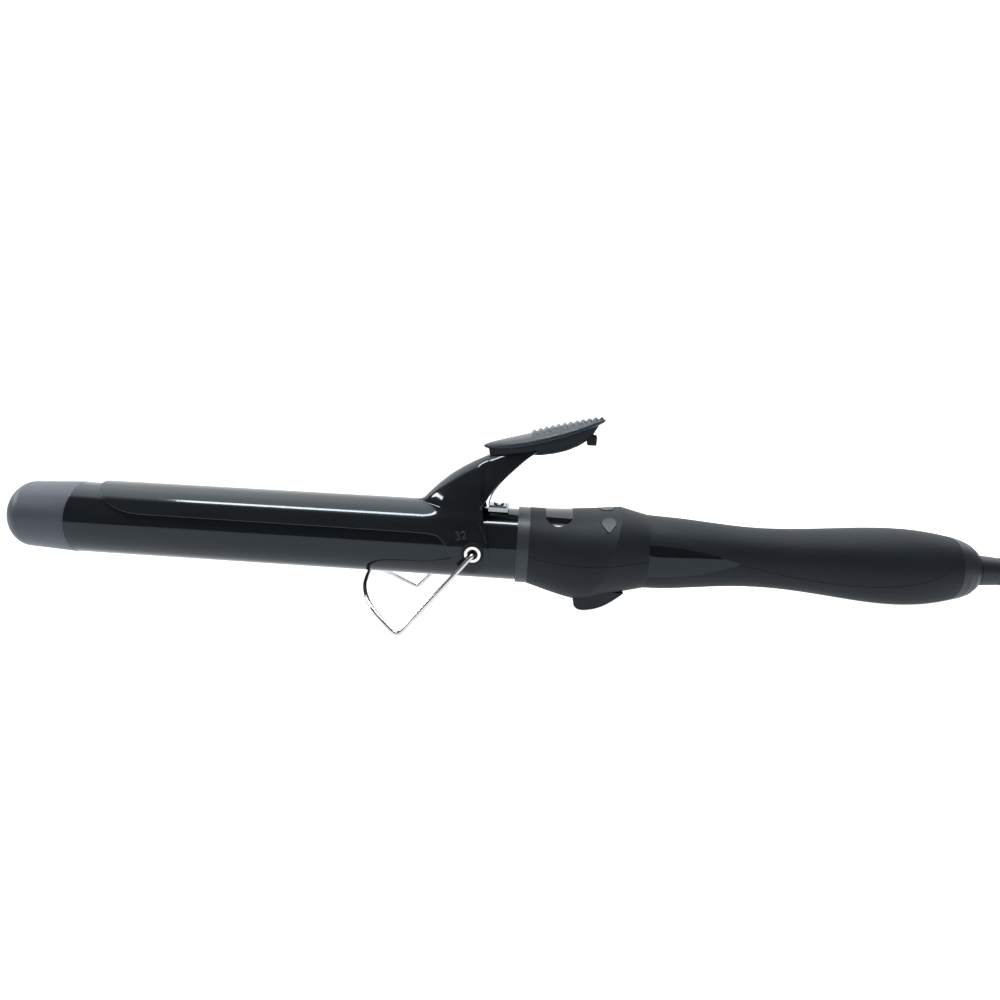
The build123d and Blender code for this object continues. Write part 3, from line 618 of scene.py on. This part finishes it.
def clip_sheet(across=44):
    """Each row runs from ridge to edge with t = v squared. Its half width is the power mean of the barrel's
    cylinder and the lever's arch, a superellipse that flares into a lip along the lever's back edge."""
    rows = clip_rows()
    v = np.linspace(0.0, 1.0, across)
    t = v ** 2
    ridge_x, ridge_z, edge_x, edge_z, half = (rows[:, k, None] for k in range(5))
    x = ridge_x + (edge_x - ridge_x) * t
    z = ridge_z + (edge_z - ridge_z) * t
    radius = np.minimum(blade_radius(x), EAR_FACE)
    cylinder = np.sqrt(np.clip(radius ** 2 - np.clip(z, 0.0, None) ** 2, 0.0, None))
    length = np.hypot(edge_x - ridge_x, edge_z - ridge_z)
    deep = np.clip((edge_z - DEEP_FROM) / DEEP_OVER, 0.0, 1.0)
    reach = np.minimum(half * ARCH_REACH, length) * (1.0 - deep) + length * deep
    part = np.clip(t * length / np.maximum(reach, 1e-6), 0.0, 1.0)
    bow = (1.0 - (1.0 - ARCH_SHARE * part) ** ARCH_POWER) ** (1.0 / ARCH_POWER)
    full_bow = (1.0 - (1.0 - ARCH_SHARE) ** ARCH_POWER) ** (1.0 / ARCH_POWER)
    near_edge = np.clip((t * length - length + LIP_LENGTH) / LIP_LENGTH, 0.0, 1.0)
    flare = near_edge * np.clip((edge_z - LIP_FROM) / LIP_OVER, 0.0, 1.0)
    fade = np.clip((z - FADE_FROM) / FADE_OVER, 0.0, 1.0)
    arch = (half * bow / full_bow + LIP_HEIGHT * flare ** 2) * fade * fade * (3.0 - 2.0 * fade)
    wide = (cylinder ** JOIN_POWER + arch ** JOIN_POWER) ** (1.0 / JOIN_POWER)
    near = np.stack([x, -wide, z], axis=-1)
    far = np.stack([x, wide, z], axis=-1)
    return np.concatenate([near[:, ::-1], far[:, 1:]], axis=1)


clip = build("clip_pressing", [clip_sheet()], "clip_lacquer", "clip", round_columns=False)
thickness = clip.modifiers.new("sheet", "SOLIDIFY")
thickness.thickness = SHEET * MM
thickness.offset = -1.0
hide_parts("clip_blade", "thumb_lever")

# %% [markdown]
# The number 32 beside the pivot is the barrel's diameter in millimetres, pressed up from the sheet. It is
# text with a little depth, turned to lie on the saddle and then made a mesh.

# %% Size mark
def drawn(holder):
    """The mesh that a text or a curve draws."""
    return bpy.data.meshes.new_from_object(holder.evaluated_get(bpy.context.evaluated_depsgraph_get()))


MARK_PLACE = (-5.4, 6.9)       # x and z of the mark's middle
MARK_SIZE = 5.0
MARK_DEPTH = 0.45              # how far it stands in and out of the sheet's face
MARK_EDGE = 0.12               # rounding of its edges
MARK_SLANT = math.radians(12.0)


def size_mark():
    """Text stood on the saddle: its face looks along the cylinder's own normal at that height."""
    text = bpy.data.curves.new("size_mark", "FONT")
    text.body = "32"
    text.size = MARK_SIZE * MM
    text.align_x = "CENTER"
    text.align_y = "CENTER"
    text.extrude = MARK_DEPTH * MM
    text.bevel_depth = MARK_EDGE * MM
    holder = bpy.data.objects.new("size_mark_text", text)
    bpy.context.scene.collection.objects.link(holder)
    bpy.context.view_layer.update()
    mesh = drawn(holder)
    bpy.data.objects.remove(holder)
    x, z = MARK_PLACE
    rise = math.asin(z / EAR_FACE)
    out = Vector((0.0, -math.cos(rise), math.sin(rise)))
    writes = Vector((math.cos(MARK_SLANT), 0.0, math.sin(MARK_SLANT)))
    writes = (writes - out * writes.dot(out)).normalized()
    up_mark = out.cross(writes)
    turn = np.array([writes, up_mark, out])
    points = np.array([v.co for v in mesh.vertices]) / MM @ turn
    points += np.array((x, -EAR_FACE * math.cos(rise), z))
    mesh.vertices.foreach_set("co", placed(points).astype(np.float32).ravel())
    mesh.materials.clear()
    # the mark takes the lighter finish, a painted highlight
    mesh.materials.append(mark_painted_highlight)
    made = bpy.data.objects.new("size_mark", mesh)
    bpy.context.scene.collection.objects.link(made)
    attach(made, "clip")
    print("size_mark", len(mesh.polygons), "faces")


size_mark()

# %% [markdown]
# ## Thumb pad
#
# The pad is two mouldings: a crowned leaf with ribs for the thumb, and a boat-shaped housing that grips the
# lever, with a small catch under its end. Both are closed tubes of changing section, pointed at each end.
# The ribs are part of the leaf's own formula, so their feet melt into it as they do in a mould.

# %% Shape along the pad
PAD_FROM = 1.5
PAD_TO = 53.7
PAD_HALF = 9.5                 # half width in the middle
PAD_BOW = 2.1                  # power of the bow seen from above
PAD_POINT = 0.8                # under 1 makes the ends rounder
# Lines seen from the side, as x and z: the leaf's rim and top, and the housing's underside.
PAD_RIM = ((1.5, 43.9), (5.3, 44.1), (10.7, 44.6), (17.5, 46.1), (27.1, 48.6), (36.6, 51.6), (46.0, 55.2),
           (53.7, 58.2))
PAD_TOP = ((1.5, 45.0), (6.0, 46.2), (12.3, 47.9), (21.1, 50.3), (29.8, 53.0), (39.6, 55.6), (49.0, 58.0),
           (53.7, 58.9))
HOUSING_FLOOR = ((3.6, 43.6), (4.4, 39.8), (5.6, 39.0), (7.0, 38.8), (11.0, 39.9), (16.0, 40.7), (21.7, 41.3),
                 (26.7, 41.5), (32.6, 42.6), (37.4, 44.0), (42.3, 46.2), (45.6, 48.4), (48.6, 51.6),
                 (51.6, 57.0))
LEAF_BELLY = 1.4               # how far the leaf bulges below its rim
HOUSING_INSET = 1.4            # how much narrower the housing is than the leaf, on each side
HOUSING_SINK = 0.3             # how far the housing's roof lies under the leaf's rim
RIB_PITCH = 2.6
RIB_HEIGHT = 1.1
RIBS_FROM = 21.9
RIBS_TO = 53.1
RIB_STEP = 0.16                # spacing of the rows that draw the ribs


def pad_half(x):
    """Half width of the leaf: one less a power of the distance from its middle, and a power of that."""
    share = np.clip((x - PAD_FROM) / (PAD_TO - PAD_FROM), 0.0, 1.0)
    return PAD_HALF * (1.0 - np.abs(2.0 * share - 1.0) ** PAD_BOW) ** PAD_POINT


def power(value, exponent):
    """A power that keeps the sign."""
    return np.sign(value) * np.abs(value) ** exponent


# %% Thumb pad's leaf and housing
def pad_leaf():
    """Section: y = w cos a and z = rim + crown or belly times a power of sin a. Both go to nothing at the
    ends by a blunt curve, and the crown has ribs: a cosine along x, faded out towards the rim."""
    share = 0.5 - 0.5 * np.cos(np.linspace(0.0, np.pi, 60))
    rows = np.concatenate([PAD_FROM + (PAD_TO - PAD_FROM) * share, np.arange(RIBS_FROM, RIBS_TO, RIB_STEP)])
    x = np.unique(rows)
    angle = np.linspace(0.0, 2.0 * np.pi, 72, endpoint=False)
    rim = smooth_through(PAD_RIM, x)[:, None]
    crown = np.maximum(smooth_through(PAD_TOP, x)[:, None] - rim, 0.0)
    half = pad_half(x)[:, None]
    blunt = np.sqrt(1.0 - np.abs(2.0 * (x - PAD_FROM) / (PAD_TO - PAD_FROM) - 1.0) ** 14)[:, None]
    across = half * power(np.cos(angle), 0.92)
    height = np.where(np.sin(angle) > 0.0, crown, LEAF_BELLY) * blunt * power(np.sin(angle), 0.85)
    wave = 0.5 + 0.5 * np.cos(2.0 * np.pi * (x[:, None] - RIBS_FROM - RIB_PITCH / 2) / RIB_PITCH)
    inside = np.clip((0.7 * half - np.abs(across)) / 1.2, 0.0, 1.0) * (np.sin(angle) > 0.0)
    ends = ((x > RIBS_FROM) & (x < RIBS_TO))[:, None]
    height = height + RIB_HEIGHT * wave ** 0.5 * inside * ends
    return np.stack(np.broadcast_arrays(x[:, None], across, rim + height), axis=-1)


def pad_housing():
    """Section: a rounded trough, y = w cos a to a power, z from the leaf down to the floor's line."""
    first, last = HOUSING_FLOOR[0][0], HOUSING_FLOOR[-1][0]
    x = first + (last - first) * (0.5 - 0.5 * np.cos(np.linspace(0.0, np.pi, 90)))
    angle = np.linspace(0.0, 2.0 * np.pi, 64, endpoint=False)
    roof = smooth_through(PAD_RIM, x)[:, None] - HOUSING_SINK
    floor = np.minimum(np.interp(x, *np.array(HOUSING_FLOOR).T)[:, None], roof)
    half = np.maximum(pad_half(x)[:, None] - HOUSING_INSET, 0.0)
    across = half * power(np.cos(angle), 0.6)
    height = np.where(np.sin(angle) > 0.0, 0.2, roof - floor) * power(np.sin(angle), 0.75)
    return np.stack(np.broadcast_arrays(x[:, None], across, roof + height), axis=-1)


def rounded_block(low, high, power_of=0.25):
    """A superellipsoid between two corners: a block with soft edges."""
    low, high = np.array(low), np.array(high)
    up_angle = np.linspace(-np.pi / 2, np.pi / 2, 13)[:, None]
    round_angle = np.linspace(0.0, 2.0 * np.pi, 24, endpoint=False)[None, :]
    shape = np.stack(np.broadcast_arrays(
        power(np.cos(up_angle), power_of) * power(np.cos(round_angle), power_of),
        power(np.cos(up_angle), power_of) * power(np.sin(round_angle), power_of),
        power(np.sin(up_angle), power_of)), axis=-1)
    return (low + high) / 2 + shape * (high - low) / 2


leaf = build("pad_leaf", [pad_leaf()], "soft_black", "clip")
leaf.data.materials[0] = pad_satin
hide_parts("thumb_pad")
CATCH_LOW = (46.2, -2.2, 46.9)
CATCH_HIGH = (50.4, 2.2, 51.5)
catch = rounded_block(CATCH_LOW, CATCH_HIGH)
housing = build("pad_housing", [pad_housing(), catch], "soft_black", "clip")
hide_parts("thumb_pad_base")

# %% [markdown]
# ## Wire rest
#
# The rest is one 2 mm chromed wire, bent in a jig, with an end in each stud. Its bends are wide, so a spline
# with a round bevel follows it well. Each half is the mirror of the other, and only one is written down.

# %% Wire rest
WIRE_R = 1.0
WIRE_HALF = np.array([(0.0, -15.4, 0.0), (0.0, -20.2, 0.0), (0.0, -21.6, 0.0), (-1.3, -22.0, -1.5),
                      (-14.5, -25.8, -16.8), (-27.0, -29.2, -31.6), (-29.6, -29.9, -34.3),
                      (-32.8, -28.5, -32.7), (-42.3, -23.5, -25.8), (-47.6, -14.0, -20.6),
                      (-47.8, -5.0, -17.2)])
wire_points = np.concatenate([WIRE_HALF, WIRE_HALF[::-1] * (1.0, -1.0, 1.0)])
rest = spline_piece("wire_rest", placed(wire_points).tolist(), WIRE_R * MM)
rest.data.materials.append(finishes["chrome"])
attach(rest, "stand")
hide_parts("stand_wire")
print("wire_rest", len(wire_points), "points")

# %% [markdown]
# ## Leaf spring
#
# A strip of spring steel is screwed to the barrel, bends up and bears inside the lever. Its foot stays with
# the barrel and its end goes with the clip, so it has to bend between the two bodies when the clip opens.

# %% Leaf spring
SPRING_HALF = 3.5              # half its width
SPRING_THICK = 0.6


def strip(line, half, thick):
    """A flat strip on a line in the XZ plane: its section is a flat box with rounded edges."""
    way = np.gradient(line, axis=0)
    way /= np.linalg.norm(way, axis=1)[:, None]
    above = np.stack([-way[:, 2], 0 * way[:, 0], way[:, 0]], axis=-1)
    angle = np.linspace(0.0, 2.0 * np.pi, 24, endpoint=False)
    ring = (np.array((0.0, 1.0, 0.0)) * half * power(np.cos(angle), 0.35)[None, :, None]
            + above[:, None] * (thick / 2) * power(np.sin(angle), 0.35)[None, :, None])
    middle = np.repeat(line[:, None], len(angle), axis=1)
    return np.concatenate([middle[:1], middle + ring, middle[-1:]])


def line_of(points):
    """The line that a spline draws, read back as points: the curve has no bevel, so its mesh is that line."""
    holder = spline_piece("line", points, 0.0)
    holder.data.resolution_u = 12
    bpy.context.view_layer.update()
    mesh = drawn(holder)
    bpy.data.objects.remove(holder)
    return np.array([v.co for v in mesh.vertices])


SPRING_POINTS = [(13.0, 0.0, 17.7), (6.4, 0.0, 17.7), (5.1, 0.0, 17.9), (5.5, 0.0, 20.0), (7.0, 0.0, 24.4),
                 (12.4, 0.0, 31.6), (19.4, 0.0, 38.4)]
spring = build("leaf_spring", [strip(line_of(SPRING_POINTS), SPRING_HALF, SPRING_THICK)], "spring_steel")
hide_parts("lever_spring")
placed((6.0, 0.0, 19.5)).tolist()
placed((19.0, 0.0, 38.0)).tolist()
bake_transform(spring)

# %% [markdown]
# ## Strain relief, plug and tie
#
# The strain relief is a soft taper with rings moulded round it, which let it bend evenly. The plug is a flat
# two-pin body whose waist gives the fingers a hold. The tie is a strap round the coil.

# %% Strain relief
BOOT_FROM = 221.0
BOOT_TO = 248.7
BOOT_AXIS_Z = 1.5
BOOT_RADIUS = 6.9              # at the handle
BOOT_NARROWS = 2.2
GROOVE_PITCH = 4.2
GROOVE_DEPTH = 0.7
FIRST_GROOVE = 10.2            # from the handle's end of the boot
GROOVE_WIDTH = 0.55            # cosine at which a groove starts: nearer to 1 is narrower
PLAIN_FRONT, PLAIN_BACK = 8.5, 1.8     # lengths without grooves
SHOULDER_RUN, SHOULDER_DROP = 1.2, 0.8
END_RUN, END_DROP = 0.8, 0.5


def boot_profile():
    """Radius = a straight taper, less a groove at every pitch, less a round shoulder at each end."""
    x = np.linspace(BOOT_FROM, BOOT_TO, 150)
    share = (x - BOOT_FROM) / (BOOT_TO - BOOT_FROM)
    radius = BOOT_RADIUS - BOOT_NARROWS * share
    wave = np.cos(2.0 * np.pi * (x - BOOT_FROM - FIRST_GROOVE) / GROOVE_PITCH)
    groove = np.clip(wave - GROOVE_WIDTH, 0.0, None) / (1.0 - GROOVE_WIDTH)
    grooved = (x > BOOT_FROM + PLAIN_FRONT) & (x < BOOT_TO - PLAIN_BACK)
    radius = radius - GROOVE_DEPTH * groove ** 0.6 * grooved
    start = np.clip((x - BOOT_FROM) / SHOULDER_RUN, 0.0, 1.0)
    end = np.clip((BOOT_TO - x) / END_RUN, 0.0, 1.0)
    radius = radius - SHOULDER_DROP * (1.0 - np.sqrt(1.0 - (1.0 - start) ** 2))
    radius = radius - END_DROP * (1.0 - np.sqrt(1.0 - (1.0 - end) ** 2))
    return np.concatenate([[BOOT_FROM], x, [BOOT_TO]]), np.concatenate([[0.0], radius, [0.0]])


boot = build("strain_relief", [turned(*boot_profile(), height=BOOT_AXIS_Z)], "cord_rubber", "swivel")
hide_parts("cord_boot")

# %% Plug
PLUG_REAR = 312.0
PLUG_LENGTH = 35.0
PLUG_MIDDLE = (46.0, 26.8)
# Along the plug from its rear: place, half width, half height.
PLUG_STATIONS = ((0.0, 5.6, 5.2), (2.5, 6.3, 5.7), (9.0, 8.6, 6.4), (16.0, 12.4, 6.2), (24.0, 16.6, 6.5),
                 (33.5, 17.3, 6.8), (35.0, 16.4, 6.0))
HOLLOW_AT = 15.0
HOLLOW_LENGTH = 6.0
HOLLOW_SHARE = 0.12            # share of the half height that the thumb hollow takes away


def plug_form():
    """Superellipse sections along -X: half width and half height follow the stations, with a thumb hollow."""
    along = np.linspace(0.0, PLUG_LENGTH, 80)
    angle = np.linspace(0.0, 2.0 * np.pi, 72, endpoint=False)
    wide = smooth_through(PLUG_STATIONS, along, 1)[:, None]
    high = smooth_through(PLUG_STATIONS, along, 2)[:, None]
    dip = np.exp(-((along[:, None] - HOLLOW_AT) / HOLLOW_LENGTH) ** 2)
    hollow = 1.0 - HOLLOW_SHARE * dip * np.sin(angle) ** 2
    across = PLUG_MIDDLE[0] + wide * power(np.cos(angle), 0.62)
    above = PLUG_MIDDLE[1] + high * hollow * power(np.sin(angle), 0.62)
    rings = np.stack(np.broadcast_arrays(PLUG_REAR - along[:, None], across, above), axis=-1)
    middle = np.array([(PLUG_REAR, *PLUG_MIDDLE), (PLUG_REAR - PLUG_LENGTH, *PLUG_MIDDLE)])
    caps = np.repeat(middle[:, None], len(angle), axis=1)
    return np.concatenate([caps[:1], rings, caps[1:]])


plug = build("plug_moulding", [plug_form()], "plug_black", "root", place=on_table)
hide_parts("plug_body")

# %% Tie
TIE_LOW = (329.1, -2.0, 0.0)
TIE_HIGH = (356.9, 8.0, 20.4)
TIE_THICK = 0.8


def tie_form():
    """A strap: a round-cornered rectangle in XZ, and across it a flat section with rounded edges."""
    low, high = np.array(TIE_LOW), np.array(TIE_HIGH)
    middle, half = (low + high) / 2, (high - low) / 2
    around = np.linspace(0.0, 2.0 * np.pi, 120, endpoint=False)[:, None]
    section = np.linspace(0.0, 2.0 * np.pi, 16, endpoint=False)[None, :]
    grow = (TIE_THICK / 2) * (power(np.sin(section), 0.5) - 1.0)
    x = middle[0] + (half[0] + grow) * power(np.cos(around), 0.3)
    z = middle[2] + (half[2] + grow) * power(np.sin(around), 0.3)
    y = middle[1] + half[1] * power(np.cos(section), 0.3)
    return np.stack(np.broadcast_arrays(x, y, z), axis=-1)


tie = build("lead_tie", [tie_form()], "cord_rubber", "root", round_rows=True, place=on_table)
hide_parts("cord_tie")

# %% [markdown]
# ## Stage
#
# Black gloss shows only what it mirrors, so the stage is built from things to mirror. A white table curves up
# behind the iron and gives the barrel its grey lower half. A bright sky above and behind gives the clip its
# grey top, a strip light along the barrel its white streak, and a strip off the tip's end the line on the
# lever. The dim room in front gives the dark band between. A wide lamp overhead lights the matt pieces and
# is hidden from the gloss.


# %% Table and backdrop
TABLE_FRONT = -2.5             # m
TABLE_BACK = 0.9
TURN_UP = 0.6                  # radius of the curve at the back
BACKDROP_TOP = 3.0
TABLE_HALF = 3.0
TABLE_GLOW = 3.4
GLOW_LOW = (0.3, 0.31, 0.32)   # share of the glow at the table
GLOW_HIGH = (1.0, 1.0, 1.0)    # and at the top


def backdrop():
    """A sheet that lies flat, turns up on a quarter circle and stands: a path in Y and Z carried along X."""
    angle = np.linspace(0.0, np.pi / 2, 24)
    curve = TABLE_BACK + TURN_UP * np.sin(angle[1:])
    y = np.concatenate([[TABLE_FRONT, TABLE_BACK], curve, [TABLE_BACK + TURN_UP]])
    z = np.concatenate([[0.0, 0.0], TURN_UP - TURN_UP * np.cos(angle[1:]), [BACKDROP_TOP]])
    x = np.array([-TABLE_HALF, TABLE_HALF])
    points = np.stack(np.broadcast_arrays(x[:, None], y[None, :], z[None, :]), axis=-1).reshape(-1, 3)
    mesh = bpy.data.meshes.new("table")
    mesh.from_pydata(points.tolist(), [], grid_faces(2, len(y))[:, ::-1].tolist())
    mesh.shade_smooth()
    made = bpy.data.objects.new("table", mesh)
    bpy.context.scene.collection.objects.link(made)
    return made


paper = Finish("table_white")
fibre = paper.noise(60.0, 3.0)
glow = paper.ramp(paper.height(BACKDROP_TOP), (0.0, GLOW_LOW), (1.0, GLOW_HIGH))
table = backdrop()
table.data.materials.append(paper.surface(
    Base_Color=paper.ramp(fibre, (0.3, (0.24, 0.25, 0.26)), (0.7, (0.26, 0.27, 0.28))), Roughness=0.95,
    Specular_IOR_Level=0.1, Emission_Color=glow, Emission_Strength=TABLE_GLOW))
print("table of", len(table.data.polygons), "faces")

# %% [markdown]
# Seen from the side or from behind, the iron needs white round it too. A ball round the stage is seen by the
# camera alone, so it adds nothing to what the gloss mirrors and no light.


# %% Pale surround
SURROUND_RADIUS = 6.0          # m
SURROUND_GRID = (25, 48)


def surround():
    """A ball round the whole stage, r sin a cos b, r sin a sin b, r cos a. Only the camera sees it."""
    a = np.linspace(0.0, np.pi, SURROUND_GRID[0])[:, None]
    b = np.linspace(0.0, 2.0 * np.pi, SURROUND_GRID[1], endpoint=False)[None, :]
    ball = np.stack([np.sin(a) * np.cos(b), np.sin(a) * np.sin(b), np.cos(a) + 0 * b], axis=-1)
    points = SURROUND_RADIUS * ball.reshape(-1, 3)
    mesh = bpy.data.meshes.new("surround")
    mesh.from_pydata(points.tolist(), [], grid_faces(*SURROUND_GRID, round_columns=True).tolist())
    made = bpy.data.objects.new("surround", mesh)
    bpy.context.scene.collection.objects.link(made)
    made.visible_diffuse = False
    made.visible_glossy = False
    made.visible_transmission = False
    made.visible_shadow = False
    return made


pale = Finish("surround_white")
around_stage = surround()
around_stage.data.materials.append(pale.surface(
    Base_Color=(0.0, 0.0, 0.0, 1.0), Specular_IOR_Level=0.0,
    Emission_Color=(1.0, 1.0, 1.0, 1.0), Emission_Strength=1.0))
print("surround of radius", SURROUND_RADIUS, "m")


# %% Lights
def soft_light(name, place, aim, size, watts, tint=(1.0, 1.0, 1.0)):
    """A flat rectangular light at a place, facing an aim."""
    light = bpy.data.lights.new(name, "AREA")
    light.shape = "RECTANGLE"
    light.size, light.size_y = size
    light.energy = watts
    light.color = tint
    made = bpy.data.objects.new(name, light)
    bpy.context.scene.collection.objects.link(made)
    made.location = place
    made.rotation_euler = (Vector(aim) - Vector(place)).to_track_quat("-Z", "Y").to_euler()
    return made


overhead = soft_light("overhead", (0.0, 0.15, 1.25), (0.0, 0.1, 0.0), (2.0, 1.6), 5.0, (0.95, 0.98, 1.0))
overhead.visible_glossy = False       # it would put a second streak on the gloss
soft_light("side_strip", (-1.05, -0.1, 0.64), (-0.02, 0.0, 0.06), (0.7, 0.08), 6.5)
soft_light("top_strip", (-0.07, -0.1, 0.9), (-0.07, 0.0, 0.05), (0.78, 0.08), 8.0)

# %% [markdown]
# The room is bright behind and above the iron and dim in front of it. Its brightness follows one direction,
# so the gloss fades smoothly from the clip's grey top into the dark band.


# %% Room
BRIGHT_WAY = (0.0, 0.6, 0.8)   # away from the camera and up
DIM, BRIGHT = 0.2, 3.4
STEP_LOW, STEP_HIGH = 0.55, 0.76
SKY_TINT = (0.92, 0.97, 1.0, 1.0)


def room():
    """World strength = dim to bright, by a smooth step of (0.6 y + 0.8 z): y is away from us and z is up."""
    world = bpy.data.worlds.new("room")
    world.use_nodes = True
    tree = world.node_tree
    where = tree.nodes.new("ShaderNodeTexCoord")
    aim = tree.nodes.new("ShaderNodeVectorMath")
    aim.operation = "DOT_PRODUCT"
    aim.inputs[1].default_value = BRIGHT_WAY
    step = tree.nodes.new("ShaderNodeMapRange")
    step.interpolation_type = "SMOOTHERSTEP"
    ends = {"From Min": STEP_LOW, "From Max": STEP_HIGH, "To Min": DIM, "To Max": BRIGHT}
    for socket, value in ends.items():
        step.inputs[socket].default_value = value
    background = tree.nodes["Background"]
    background.inputs["Color"].default_value = SKY_TINT
    tree.links.new(where.outputs["Generated"], aim.inputs[0])
    tree.links.new(aim.outputs["Value"], step.inputs["Value"])
    tree.links.new(step.outputs["Result"], background.inputs["Strength"])
    return world


bpy.context.scene.world = room()
bpy.context.scene.view_settings.view_transform = "Standard"
print("room from", DIM, "to", BRIGHT)

# %% [markdown]
# ## Where the lead starts
#
# The last cell prints the lead's first point.

# %% Lead's facts
print("the lead leaves at", lead_points[0])
